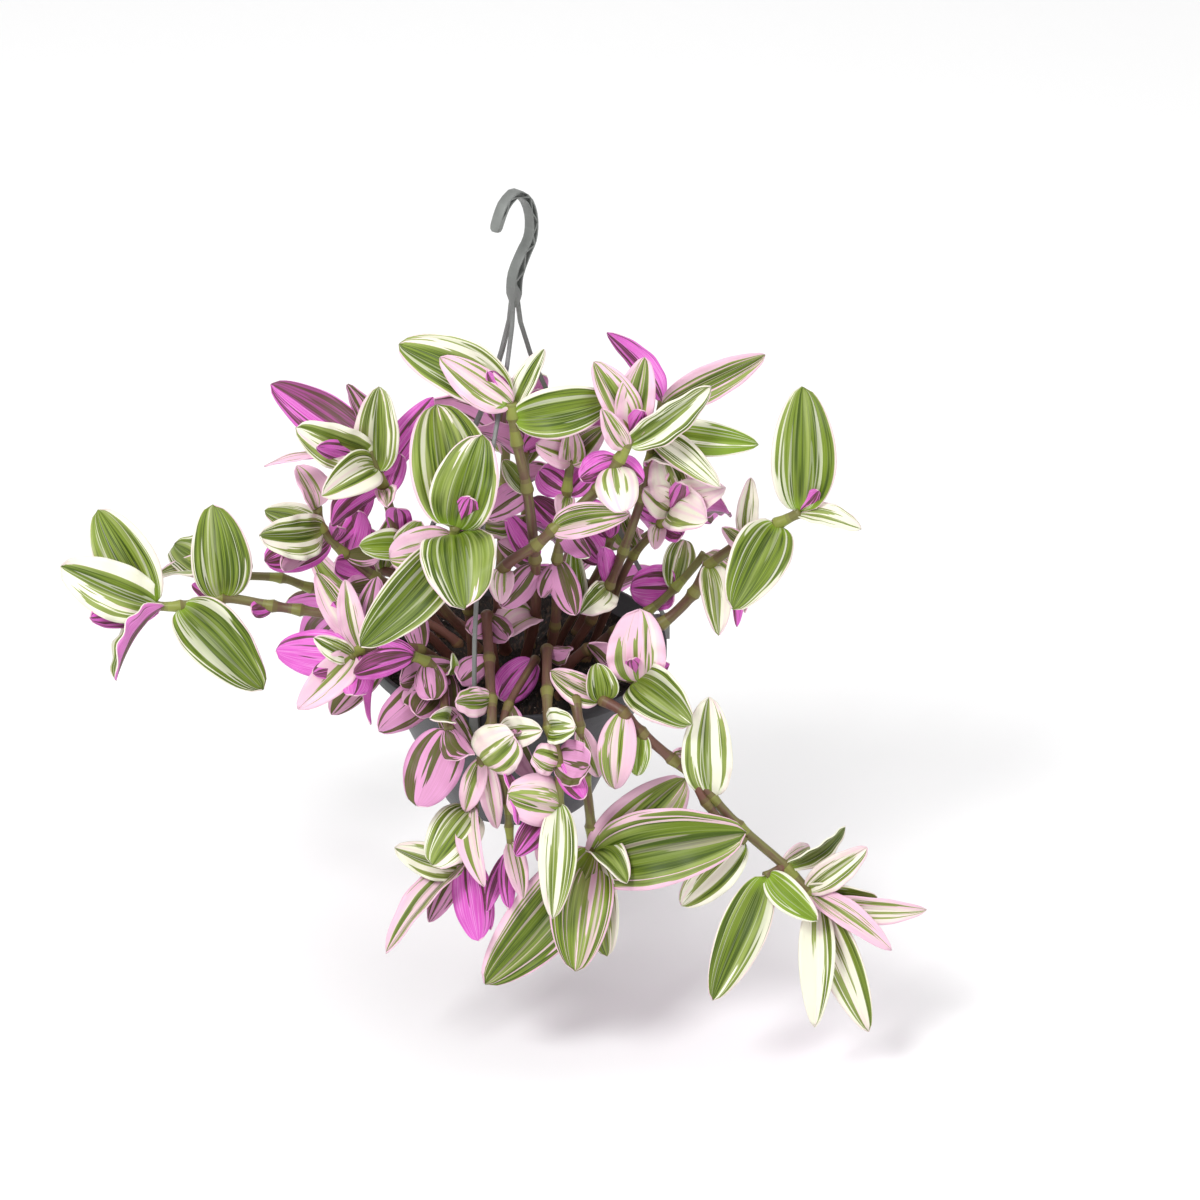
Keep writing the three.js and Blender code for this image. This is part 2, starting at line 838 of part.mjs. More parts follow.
function potBody() {
  const floor = -POT_HEIGHT + POT_WALL;
  let drilled = turned([
    [0, -POT_HEIGHT],
    [BASE_RADIUS - BASE_ROUND, -POT_HEIGHT],
    [BASE_RADIUS, -POT_HEIGHT + BASE_ROUND],
    [RIM_RADIUS - LIP_WIDTH, -LIP_HEIGHT],
    [RIM_RADIUS - LIP_ROUND, -LIP_HEIGHT],
    [RIM_RADIUS, -LIP_HEIGHT + LIP_ROUND],
    [RIM_RADIUS, -LIP_ROUND],
    [RIM_RADIUS - LIP_ROUND, 0],
    [innerRadius(0), 0],
    [innerRadius(floor), floor],
    [0, floor],
  ], POT_SIDES);
  const drill = new THREE.CylinderGeometry(DRAIN_RADIUS, DRAIN_RADIUS, 4 * POT_WALL, DRAIN_SIDES);
  drill.rotateX(Math.PI / 2);
  for (let i = 0; i < DRAIN_COUNT; i += 1) {
    const angle = (i / DRAIN_COUNT) * 2 * Math.PI;
    const at = [DRAIN_CIRCLE * Math.cos(angle), DRAIN_CIRCLE * Math.sin(angle), -POT_HEIGHT];
    drilled = drilled.subtract(solid(drill.clone().translate(...at)));
  }
  return drilled;
}

// ---- soil: a plug with a lumpy top and a plain hole for each stem

function soilBody(holes) {
  const edgeLevel = SOIL_LEVEL - SOIL_EDGE_DROP;
  const edge = innerRadius(edgeLevel) - SOIL_CLEARANCE;
  const profile = [[0, SOIL_BOTTOM], [innerRadius(SOIL_BOTTOM) - SOIL_CLEARANCE, SOIL_BOTTOM]];
  for (let ring = SOIL_RINGS; ring >= 0; ring -= 1) {
    profile.push([(edge * ring) / SOIL_RINGS, ring === SOIL_RINGS ? edgeLevel : SOIL_LEVEL]);
  }
  const points = profile.map(([radius, height]) => new THREE.Vector2(radius, height));
  const geometry = new THREE.LatheGeometry(points, SOIL_SIDES).rotateX(Math.PI / 2);
  const position = geometry.getAttribute('position');
  for (let i = 0; i < position.count; i += 1) {
    const x = position.getX(i);
    const y = position.getY(i);
    if (position.getZ(i) > SOIL_LEVEL - 1) {
      const lump = Math.sin(0.21 * x + 1.3) * Math.cos(0.17 * y) + 0.6 * Math.sin(0.37 * y - 0.29 * x);
      position.setZ(i, SOIL_LEVEL + SOIL_LUMP * lump);
    }
  }
  return mainBody(holes.reduce((body, hole) => body.subtract(hole), solid(geometry)));
}

// ---- hanger: hook and S stem, three legs and a clip on each, moulded as one

// Middle line of the hook and its stem in the hook's own plane: across, height and half the width there.
const HOOK_LINE = [
  [0, 187, 2.4], [0, 198, 2.8], [1.7, 205, 2.8], [7.5, 213.4, 2.4], [11.4, 218, 2.1], [13.1, 224, 1.9],
  [12.6, 232, 1.8], [9, 240.6, 1.8], [1.4, 246.8, 1.8], [-6.4, 244, 1.7], [-10.4, 238.6, 1.6],
  [-12.7, 234, 1.4],
];
const HOOK_CREST = 8;
const HOOK_BEARING = HOOK_LINE[HOOK_CREST][1] - HOOK_LINE[HOOK_CREST][2];

// Legs: direction from the axis in degrees, and the route as radius and height.
const LEGS = [
  [255, [
    [0.7, 197], [2.2, 184], [14, 161], [28, 144], [40, 129], [57, 99], [69, 70], [75, 42], [76.6, 16],
    [76.8, 2.5],
  ]],
  [135, [[0.7, 197], [2.2, 184], [7.6, 164], [20, 130], [35, 98], [52, 62], [67, 28], [76.8, 2.5]]],
  [15, [[0.7, 197], [1.9, 184], [5.6, 167], [14, 144], [30, 108], [44, 76], [60, 40], [76.8, 2.5]]],
];

// A flat-sided S band with a round free end, turned about the axis, with a row of three-cornered pockets in
// its near side.
function hookBody() {
  const middle = HOOK_LINE.map(([x, z]) => new THREE.Vector2(x, z));
  const left = [];
  const right = [];
  middle.forEach((point, i) => {
    const before = middle[Math.max(i - 1, 0)];
    const after = middle[Math.min(i + 1, middle.length - 1)];
    const along = after.clone().sub(before).normalize();
    const across = new THREE.Vector2(-along.y, along.x).multiplyScalar(HOOK_LINE[i][2]);
    left.push(point.clone().add(across));
    right.unshift(point.clone().sub(across));
  });
  const shape = new THREE.Shape();
  shape.moveTo(left[0].x, left[0].y);
  shape.splineThru(left.slice(1));
  shape.lineTo(right[0].x, right[0].y);
  shape.splineThru(right.slice(1));
  const options = { depth: HOOK_DEPTH, bevelEnabled: false, curveSegments: HOOK_CURVE_STEPS };
  const band = new THREE.ExtrudeGeometry(shape, options);
  band.translate(0, 0, -HOOK_DEPTH / 2).rotateX(Math.PI / 2);
  const [x, z, halfWidth] = HOOK_LINE.at(-1);
  const across = left.at(-1).clone().sub(middle.at(-1));
  const end = new THREE.CylinderGeometry(HOOK_DEPTH / 2, HOOK_DEPTH / 2, 2 * halfWidth, HOOK_END_SIDES);
  end.rotateY(Math.PI / HOOK_END_SIDES).rotateZ(-Math.PI / 2).rotateY(-across.angle()).translate(x, 0, z);
  const hook = solid(band).add(solid(end));
  return hookPockets(middle).reduce((body, pocket) => body.subtract(pocket), hook);
}

// Pockets point to one edge of the band and the other in turn, with a slanting rib between each two.
function hookPockets(middle) {
  const line = new THREE.SplineCurve(middle);
  const pockets = [];
  for (let i = 0; i < POCKET_COUNT; i += 1) {
    const corner = (shift, side) => {
      const share = POCKET_START + (i + shift) * POCKET_PITCH;
      const along = line.getTangent(share);
      const width = HOOK_LINE[Math.round(share * (HOOK_LINE.length - 1))][2] - FLANGE;
      return line.getPoint(share).add(new THREE.Vector2(-along.y, along.x).multiplyScalar(width * side));
    };
    const side = i % 2 ? 1 : -1;
    const base = [corner(-POCKET_SPREAD, side), corner(0, side), corner(POCKET_SPREAD, side)];
    const shape = new THREE.Shape([...base, corner(0, -side)]);
    const pocket = new THREE.ExtrudeGeometry(shape, { depth: POCKET_DEPTH + GAP, bevelEnabled: false });
    pockets.push(solid(pocket.translate(0, 0, HOOK_DEPTH / 2 - POCKET_DEPTH).rotateX(Math.PI / 2)));
  }
  return pockets;
}

// A flat-sided bar whose section is as wide as LEG_WIDTH round the axis and LEG_DEPTH deep.
function legBody([azimuth, route]) {
  const points = route.map(([radius, height]) => new THREE.Vector3(radius, 0, height));
  const path = new THREE.CatmullRomCurve3(points);
  const section = new THREE.Shape();
  const halfWidth = LEG_WIDTH / 2;
  const halfDepth = LEG_DEPTH / 2;
  section.moveTo(-halfWidth, -halfDepth);
  section.lineTo(halfWidth, -halfDepth);
  section.lineTo(halfWidth, halfDepth);
  section.lineTo(-halfWidth, halfDepth);
  section.closePath();
  const options = { steps: LEG_STEPS, bevelEnabled: false, extrudePath: path };
  const leg = new THREE.ExtrudeGeometry(section, options);
  return solid(leg.rotateZ(THREE.MathUtils.degToRad(azimuth)));
}

// A clip wraps the lip: a block with the lip's room cut out of it.
function clipBody(azimuth, lipRoom) {
  const inner = innerRadius(-LIP_HEIGHT) - GAP - CLIP_REACH;
  const outer = RIM_RADIUS + GAP + CLIP_WALL;
  const bottom = -LIP_HEIGHT - GAP - CLIP_LIP;
  const block = new THREE.BoxGeometry(outer - inner, CLIP_WIDTH, CLIP_TOP - bottom);
  block.translate((outer + inner) / 2, 0, (CLIP_TOP + bottom) / 2);
  return solid(block.rotateZ(THREE.MathUtils.degToRad(azimuth))).subtract(lipRoom);
}

// The hook's lower end is trimmed to a blunt cone, and the three legs spring from it.
function hangerBody() {
  const wallTop = innerRadius(0) - GAP;
  const wallLow = innerRadius(-2 * LIP_HEIGHT) - GAP;
  const lipRoom = turned([
    [wallTop, GAP],
    [wallLow, -2 * LIP_HEIGHT],
    [wallLow + POT_WALL + 2 * GAP, -2 * LIP_HEIGHT],
    [RIM_RADIUS - LIP_WIDTH + GAP, -LIP_HEIGHT - GAP],
    [RIM_RADIUS + GAP, -LIP_HEIGHT - GAP],
    [RIM_RADIUS + GAP, GAP],
    [wallTop, GAP],
  ], POT_SIDES);
  const hubTop = HOOK_LINE[0][1] + HUB_TAPER;
  const hookRoom = turned([
    [0, HOOK_LINE[0][1] - GAP],
    [LEG_WIDTH, HOOK_LINE[0][1] - GAP],
    [HOOK_DEPTH, hubTop],
    [RIM_RADIUS, hubTop],
    [RIM_RADIUS, 2 * hubTop],
    [0, 2 * hubTop],
  ], HOOK_END_SIDES);
  let hanger = hookBody().intersect(hookRoom).rotate([0, 0, HOOK_TURN]);
  LEGS.forEach((leg) => {
    hanger = hanger.add(legBody(leg).subtract(lipRoom)).add(clipBody(leg[0], lipRoom));
  });
  return mainBody(hanger);
}

// ---- leafy stems

// The swell of a blade at a share of its length: none at its ends and full a little before its middle.
function swell(share) {
  return Math.sin(Math.PI * share ** LEAF_BELLY);
}

// A slim blade runs to a point and a broad one is nearly round.
function leafWidth(share, width, length) {
  const fullness = THREE.MathUtils.lerp(SLIM_LEAF, BROAD_LEAF, Math.min(1, width / length));
  return width * Math.max(LEAF_TIP, swell(share) ** fullness);
}

function leafRows(length) {
  if (length > LONG_LEAF) {
    return LONG_LEAF_ROWS;
  }
  return length > MIDDLE_LEAF ? MIDDLE_LEAF_ROWS : SHORT_LEAF_ROWS;
}

// A blade from its base to its tip: rows of left edge, rib and right edge on the upper face and the same
// below.
function blade(base, tip, toward, [width, turn, rise, lift]) {
  const along = tip.clone().sub(base);
  const run = along.clone().normalize();
  const roll = THREE.MathUtils.degToRad(turn);
  const left = toward.clone().cross(run).normalize().applyAxisAngle(run, roll);
  const face = run.clone().cross(left);
  const length = along.length();
  const shares = leafRows(length);
  const columns = width < NARROW_LEAF ? [1, -1] : [1, 0, -1];
  const positions = [];
  for (const half of [1, -1]) {
    for (const share of shares) {
      for (const across of columns) {
        const reach = (leafWidth(share, width, length) / 2) * across;
        const height = rise * swell(share) + lift * Math.abs(reach / width) * 2;
        const point = base.clone().addScaledVector(along, share).addScaledVector(left, reach);
        point.addScaledVector(face, height + (half * BLADE_THICKNESS) / 2);
        positions.push(point.x, point.y, point.z);
      }
    }
  }
  const wide = columns.length;
  const under = shares.length * wide;
  const last = under - wide;
  const index = [];
  const wall = (a, b) => index.push(a, b, under + b, a, under + b, under + a);
  for (let corner = 0; corner < last; corner += wide) {
    for (let a = corner; a < corner + wide - 1; a += 1) {
      const [b, c, d] = [a + 1, a + wide, a + wide + 1];
      index.push(a, b, c, b, d, c);
      index.push(under + a, under + c, under + b, under + b, under + c, under + d);
    }
    wall(corner, corner + wide);
    wall(corner + 2 * wide - 1, corner + wide - 1);
  }
  for (let a = 0; a < wide - 1; a += 1) {
    wall(a + 1, a);
    wall(last + a, last + a + 1);
  }
  const geometry = new THREE.BufferGeometry();
  geometry.setAttribute('position', new THREE.BufferAttribute(new Float32Array(positions), 3));
  geometry.setIndex(index);
  return solid(geometry);
}

// The middle line of a stem: where it stands in the soil, then its joints.
function stemRoute({ root, joints }, side, foot) {
  const seen = joints.map((joint) => place(joint, side));
  if (!root) {
    return seen;
  }
  const feet = [foot, SOIL_LEVEL].map((z) => turnedTo(new THREE.Vector3(root[0], root[1], z), side));
  return [...feet, ...seen];
}

// A shoot as one solid: its stems, with each blade sunk into the stem at its joint.
function shootBody({ side, stems }) {
  const toward = towardViewer(side);
  let shoot;
  stems.forEach((stem) => {
    const bar = tube(stemRoute(stem, side, STEM_FOOT), stem.radius);
    shoot = shoot ? shoot.add(bar) : bar;
    const joints = stem.joints.map((joint) => place(joint, side));
    const grown = joints.map(() => 0);
    stem.leaves.forEach(([joint, across, up, near, ...form]) => {
      const base = joints[joint].clone();
      if (joint > 0) {
        const down = joints[joint - 1].clone().sub(base).normalize();
        base.addScaledVector(down, grown[joint] * LEAF_SPACING);
      }
      grown[joint] += 1;
      shoot = shoot.add(blade(base, place([across, up, near], side), toward, form));
    });
  });
  return mainBody(shoot.simplify(SMOOTHING));
}

// The room a stem needs in the soil.
function stemHole({ side, stems: [stem] }) {
  return tube(stemRoute(stem, side, STEM_FOOT - 2 * GAP), stem.radius + 2 * GAP);
}

// ---- assembly

const plant = new THREE.Group();
plant.add(named('pot', potBody(), COLOURS.pot, 0.55));
plant.add(named('hanger', hangerBody(), COLOURS.hanger, 0.45));

const holes = [];
Object.entries(SHOOTS).forEach(([name, shoot], i) => {
  plant.add(named(name, shootBody(shoot), COLOURS.plant[i % COLOURS.plant.length], 0.5));
  holes.push(stemHole(shoot));
});
plant.add(named('soil', soilBody(holes), COLOURS.soil, 0.95));

plant.position.set(0, 0, -HOOK_BEARING);

export default plant;
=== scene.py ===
import math

import bmesh
import bpy
from mathutils import Matrix, Vector, noise


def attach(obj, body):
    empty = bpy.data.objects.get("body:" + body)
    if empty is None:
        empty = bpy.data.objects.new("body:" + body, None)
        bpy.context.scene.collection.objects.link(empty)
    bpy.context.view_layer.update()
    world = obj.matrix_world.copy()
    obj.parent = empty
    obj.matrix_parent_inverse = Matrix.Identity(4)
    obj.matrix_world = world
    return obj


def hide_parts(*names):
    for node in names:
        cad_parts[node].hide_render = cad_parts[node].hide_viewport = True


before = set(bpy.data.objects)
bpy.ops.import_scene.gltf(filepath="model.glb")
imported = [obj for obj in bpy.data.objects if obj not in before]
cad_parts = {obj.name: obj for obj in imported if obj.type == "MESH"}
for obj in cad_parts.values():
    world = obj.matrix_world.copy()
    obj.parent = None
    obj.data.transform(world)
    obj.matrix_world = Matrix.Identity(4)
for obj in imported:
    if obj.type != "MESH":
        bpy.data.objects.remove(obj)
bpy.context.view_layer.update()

# ---- pot
# The hanging pot is moulded in dark grey plastic: a plain tapered wall with a fine satin grain, a turned-over
# lip that the hanger's clips grip, and six drain holes in its flat base. Heights are written in millimetres
# from the middle of the rim, and the frame's zero is the point that the hook hangs by.
MM = 0.001
UPRIGHT = Vector((0, 0, 1))
HOOK_BEARING = 245.0
RIM_RADIUS = 75
BASE_RADIUS = 38.5
POT_HEIGHT = 84
LIP_HEIGHT = 6.5
LIP_WIDTH = 3.4
POT_WALL = 1.9
POT_STEPS = 120
DRAIN_RADIUS = 3
DRAIN_CIRCLE = 24
DRAIN_COUNT = 6
DRAIN_STEPS = 24
POT_CREASE = math.radians(32)
POT_DARK = (0.028, 0.03, 0.035)
POT_WORN = (0.075, 0.079, 0.088)


class Sum:
    """A socket that adds its own Math nodes when it is used in a sum."""

    def __init__(self, finish, socket):
        self.finish = finish
        self.socket = socket

    def _math(self, operation, *values):
        return self.finish.node("ShaderNodeMath", {"operation": operation}, dict(enumerate(values)))

    def __add__(self, other):
        return self._math("ADD", self, other)

    def __sub__(self, other):
        return self._math("SUBTRACT", self, other)

    def __mul__(self, other):
        return self._math("MULTIPLY", self, other)

    def __pow__(self, other):
        return self._math("POWER", self, other)

    def __rsub__(self, other):
        return self._math("SUBTRACT", other, self)

    def __abs__(self):
        return self._math("ABSOLUTE", self)

    __radd__ = __add__
    __rmul__ = __mul__

    def over(self, low, high):
        """0 below low, 1 above high and a smooth step between them."""
        settings = {"interpolation_type": "SMOOTHSTEP"}
        return self.finish.node("ShaderNodeMapRange", settings, {0: self, 1: low, 2: high})


class Finish:
    """A material with a Principled surface, and the nodes that colour it."""

    def __init__(self, name, roughness, **sockets):
        self.material = bpy.data.materials.new(name)
        self.material.use_nodes = True
        self.tree = self.material.node_tree
        self.surface = self.tree.nodes["Principled BSDF"]
        self.surface.inputs["Roughness"].default_value = roughness
        for socket, value in sockets.items():
            self.surface.inputs[socket.replace("_", " ")].default_value = value

    def node(self, kind, settings=None, values=None, out=0):
        node = self.tree.nodes.new(kind)
        for name, setting in (settings or {}).items():
            setattr(node, name, setting)
        for name, value in (values or {}).items():
            if isinstance(value, Sum):
                self.tree.links.new(value.socket, node.inputs[name])
            else:
                node.inputs[name].default_value = value
        return Sum(self, node.outputs[out])

    def mix(self, share, first, second):
        """One colour going over to another."""
        def colour(value):
            return value if isinstance(value, Sum) else (*value, 1)
        settings = {"data_type": "RGBA"}
        return self.node("ShaderNodeMix", settings, {0: share, 6: colour(first), 7: colour(second)}, 2)

    def split(self, vector):
        return [self.node("ShaderNodeSeparateXYZ", None, {0: vector}, part) for part in range(3)]

    def join(self, x, y, z):
        return self.node("ShaderNodeCombineXYZ", None, {0: x, 1: y, 2: z})

    def grain(self, vector, scale, detail=2.0, roughness=0.5):
        values = {"Vector": vector, "Scale": scale, "Detail": detail, "Roughness": roughness}
        return self.node("ShaderNodeTexNoise", None, values)

    def place(self):
        return self.node("ShaderNodeTexCoord", None, None, "Object")

    def paint(self, colour, roughness=None, height=None, depth=0.0):
        self.tree.links.new(colour.socket, self.surface.inputs["Base Color"])
        if roughness:
            self.tree.links.new(roughness.socket, self.surface.inputs["Roughness"])
        if height:
            bump = self.node("ShaderNodeBump", None, {"Strength": 1.0, "Distance": depth, "Height": height})
            self.tree.links.new(bump.socket, self.surface.inputs["Normal"])
        return self.material


def piece_from(mesh, name, slot, *finishes):
    """A piece of the plant at the frame's origin, smooth, riding on the one body."""
    for finish in finishes:
        mesh.materials.append(finish)
    mesh.polygons.foreach_set("use_smooth", [True] * len(mesh.polygons))
    piece = bpy.data.objects.new(name, mesh)
    bpy.context.collection.objects.link(piece)
    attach(piece, "root")
    return piece


def wall_radius(height):
    """Radius of the pot's inner wall at a height."""
    slope = (RIM_RADIUS - LIP_WIDTH - BASE_RADIUS) / (POT_HEIGHT - LIP_HEIGHT)
    return RIM_RADIUS - LIP_WIDTH - POT_WALL + slope * (height + LIP_HEIGHT)


def turned(profile, steps):
    """A bmesh turned from a profile of radius and height, in millimetres from the rim's middle."""
    form = bmesh.new()
    points = [form.verts.new(Vector((radius, 0, height - HOOK_BEARING)) * MM) for radius, height in profile]
    edges = [form.edges.new(pair) for pair in zip(points, points[1:])]
    bmesh.ops.spin(form, geom=points + edges, axis=UPRIGHT, cent=(0, 0, 0), steps=steps, angle=math.tau,
                   use_merge=True)
    bmesh.ops.remove_doubles(form, verts=form.verts, dist=1e-6)
    bmesh.ops.recalc_face_normals(form, faces=form.faces)
    return form


def moulded_plastic(name, dark, worn, roughness):
    """Satin plastic with a fine grain, faint flow marks at even heights and paler rubbed patches."""
    finish = Finish(name, roughness, Coat_Weight=0.12, Coat_Roughness=0.3)
    place = finish.place()
    grain = finish.grain(place, 900, 2)
    clouds = finish.grain(place, 26, 4, 0.6)
    height = finish.split(place)[2]
    marks = finish.grain(finish.join(0, 0, height * 420), 1, 2)
    rubbed = clouds.over(0.46, 0.78) * 0.7 + marks.over(0.5, 0.8) * 0.2
    sheen = roughness - 0.07 + grain * 0.12 + clouds * 0.08
    return finish.paint(finish.mix(rubbed, dark, worn), sheen, grain + marks * 0.6, 0.00012)


# The outline runs from the middle of the base up the wall, over the lip and down the inside.
pot_profile = [
    (0, -POT_HEIGHT), (BASE_RADIUS - 1, -POT_HEIGHT), (BASE_RADIUS - 0.3, -POT_HEIGHT + 0.3),
    (BASE_RADIUS, -POT_HEIGHT + 1), (RIM_RADIUS - LIP_WIDTH, -LIP_HEIGHT), (RIM_RADIUS - 0.6, -LIP_HEIGHT),
    (RIM_RADIUS - 0.15, -LIP_HEIGHT + 0.2), (RIM_RADIUS, -LIP_HEIGHT + 0.8), (RIM_RADIUS, -0.8),
    (RIM_RADIUS - 0.2, -0.25), (RIM_RADIUS - 0.8, 0), (wall_radius(0) + 0.5, 0), (wall_radius(-0.5), -0.5),
    (wall_radius(-POT_HEIGHT + POT_WALL), -POT_HEIGHT + POT_WALL), (0, -POT_HEIGHT + POT_WALL),
]
pot_form = turned(pot_profile, POT_STEPS)
pot_mesh = bpy.data.meshes.new("pot_shell")
pot_form.to_mesh(pot_mesh)
pot_form.free()
pot_shell = piece_from(pot_mesh, "pot_shell", "pot_plastic",
                       moulded_plastic("pot_plastic_grain", POT_DARK, POT_WORN, 0.46))

# The drain holes are drilled through the base.
drill_form = bmesh.new()
base_height = -POT_HEIGHT - HOOK_BEARING
for k in range(DRAIN_COUNT):
    turn = math.tau * k / DRAIN_COUNT
    spot = Vector((DRAIN_CIRCLE * math.cos(turn), DRAIN_CIRCLE * math.sin(turn), base_height)) * MM
    bmesh.ops.create_cone(drill_form, cap_ends=True, segments=DRAIN_STEPS, radius1=DRAIN_RADIUS * MM,
                          radius2=DRAIN_RADIUS * MM, depth=4 * POT_WALL * MM, matrix=Matrix.Translation(spot))
drill_mesh = bpy.data.meshes.new("drain_drill")
drill_form.to_mesh(drill_mesh)
drill_form.free()
drill = bpy.data.objects.new("drain_drill", drill_mesh)
bpy.context.collection.objects.link(drill)
drilling = pot_shell.modifiers.new("drain_holes", "BOOLEAN")
drilling.operation = "DIFFERENCE"
drilling.solver = "EXACT"
drilling.object = drill
drilled = bpy.data.meshes.new_from_object(pot_shell.evaluated_get(bpy.context.evaluated_depsgraph_get()))
drilled.name = "pot_shell"
pot_shell.modifiers.clear()
pot_shell.data = drilled
bpy.data.objects.remove(drill)
with bpy.context.temp_override(object=pot_shell, active_object=pot_shell, selected_objects=[pot_shell],
                               selected_editable_objects=[pot_shell]):
    bpy.ops.object.shade_smooth_by_angle(angle=POT_CREASE)
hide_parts("pot")


# ---- hanger
# The hanger is one grey plastic moulding: an open hook with a row of three-cornered pockets down its side,
# and three thin legs whose clips snap over the pot's lip. The moulded edges are slightly rounded.
EDGE_ROUND = 0.35
EDGE_ANGLE = math.radians(50)
FLAT_ANGLE = math.radians(2)
HANGER_CREASE = math.radians(40)
WELD = 0.02
HANGER_DARK = (0.15, 0.158, 0.15)
HANGER_WORN = (0.27, 0.285, 0.27)

hanger_form = bmesh.new()
hanger_form.from_mesh(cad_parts["hanger"].data)
bmesh.ops.remove_doubles(hanger_form, verts=hanger_form.verts, dist=WELD * MM)
bmesh.ops.dissolve_limit(hanger_form, angle_limit=FLAT_ANGLE, verts=hanger_form.verts,
                         edges=hanger_form.edges)
sharp = [edge for edge in hanger_form.edges if edge.is_manifold and edge.calc_face_angle() > EDGE_ANGLE]
bmesh.ops.bevel(hanger_form, geom=sharp, offset=EDGE_ROUND * MM, offset_type="OFFSET", segments=2,
                profile=0.5, affect="EDGES", clamp_overlap=True, material=-1)
hanger_mesh = bpy.data.meshes.new("hanger_moulding")
hanger_form.to_mesh(hanger_mesh)
hanger_form.free()
hanger = piece_from(hanger_mesh, "hanger_moulding", "hanger_plastic",
                    moulded_plastic("hanger_plastic_grain", HANGER_DARK, HANGER_WORN, 0.4))
with bpy.context.temp_override(object=hanger, active_object=hanger, selected_objects=[hanger],
                               selected_editable_objects=[hanger]):
    bpy.ops.object.shade_smooth_by_angle(angle=HANGER_CREASE)
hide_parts("hanger")


# ---- soil
# Dark peat mix fills the pot to just under its lip. Its top is crumbly, with paler fibres and a few specks of
# white grit, and the stems stand in it.
SOIL_LEVEL = -9
SOIL_BOTTOM = -60
SOIL_CRUMB = 1.7
SOIL_GAP = 0.7
SOIL_SLOPE = 1
SOIL_STEPS = 48
SOIL_CUTS = 20
CRUMB_MARGIN = 2
COARSE_CRUMBS = 320
FINE_CRUMBS = 900
PEAT = (0.012, 0.008, 0.006)
PEAT_FIBRE = (0.075, 0.045, 0.026)
GRIT = (0.55, 0.5, 0.42)

soil_edge = SOIL_LEVEL - SOIL_SLOPE
soil_profile = [(0, SOIL_LEVEL), (wall_radius(soil_edge) - SOIL_GAP, soil_edge),
                (wall_radius(SOIL_BOTTOM) - SOIL_GAP, SOIL_BOTTOM), (0, SOIL_BOTTOM)]
soil_form = turned(soil_profile, SOIL_STEPS)
top_faces = [face for face in soil_form.faces if face.normal.z > 0.9]
top_edges = list({edge for face in top_faces for edge in face.edges})
bmesh.ops.subdivide_edges(soil_form, edges=top_edges, cuts=SOIL_CUTS, use_grid_fill=True)
for point in soil_form.verts:
    radius = math.hypot(point.co.x, point.co.y) / MM
    on_top = point.co.z > (SOIL_LEVEL - 1.5 * SOIL_SLOPE - HOOK_BEARING) * MM
    if on_top and radius < wall_radius(SOIL_LEVEL) - CRUMB_MARGIN:
        crumb = noise.noise(point.co * COARSE_CRUMBS) + 0.6 * noise.noise(point.co * FINE_CRUMBS)
        point.co.z += SOIL_CRUMB * crumb * MM
bmesh.ops.recalc_face_normals(soil_form, faces=soil_form.faces)
soil_mesh = bpy.data.meshes.new("soil_plug")
soil_form.to_mesh(soil_mesh)
soil_form.free()

peat = Finish("peat_mix", 0.95)
place = peat.place()
crumbs = peat.grain(place, 420, 5, 0.7)
drawn_out = peat.node("ShaderNodeVectorMath", {"operation": "MULTIPLY"}, {0: place, 1: (1, 0.25, 1)})
fibres = peat.grain(drawn_out, 700, 3)
specks = peat.node("ShaderNodeTexVoronoi", None, {"Vector": place, "Scale": 260.0})
peat_colour = peat.mix(fibres.over(0.52, 0.7), PEAT, PEAT_FIBRE)
peat_colour = peat.mix((1 - specks.over(0.1, 0.16)) * crumbs.over(0.5, 0.56), peat_colour, GRIT)
soil = piece_from(soil_mesh, "soil_plug", "soil", peat.paint(peat_colour, None, crumbs, 0.0012))
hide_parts("soil")


# ---- leafy stems
# Jointed fleshy stems stand in the soil, lean over the rim and hang, with sheathed leaves at their joints and
# a head of crowded leaves and rolled young ones at the end. The leaves are striped along their length in deep
# green, pale green, white and pink, and their backs are orchid pink with dull green stripes.
DEEP_GREEN = (0.045, 0.08, 0.005)
LEAF_GREEN = (0.185, 0.265, 0.022)
PALE_GREEN = (0.4, 0.48, 0.14)
LIME = (0.25, 0.4, 0.03)
CREAM = (0.87, 0.87, 0.7)
PINK = (0.86, 0.55, 0.68)
MAGENTA = (0.72, 0.11, 0.57)
ORCHID = (0.9, 0.42, 0.82)
DUSTY_PINK = (0.68, 0.41, 0.52)
PLUM = (0.13, 0.045, 0.06)
OLIVE = (0.105, 0.115, 0.026)
SEED_SPREAD = 97


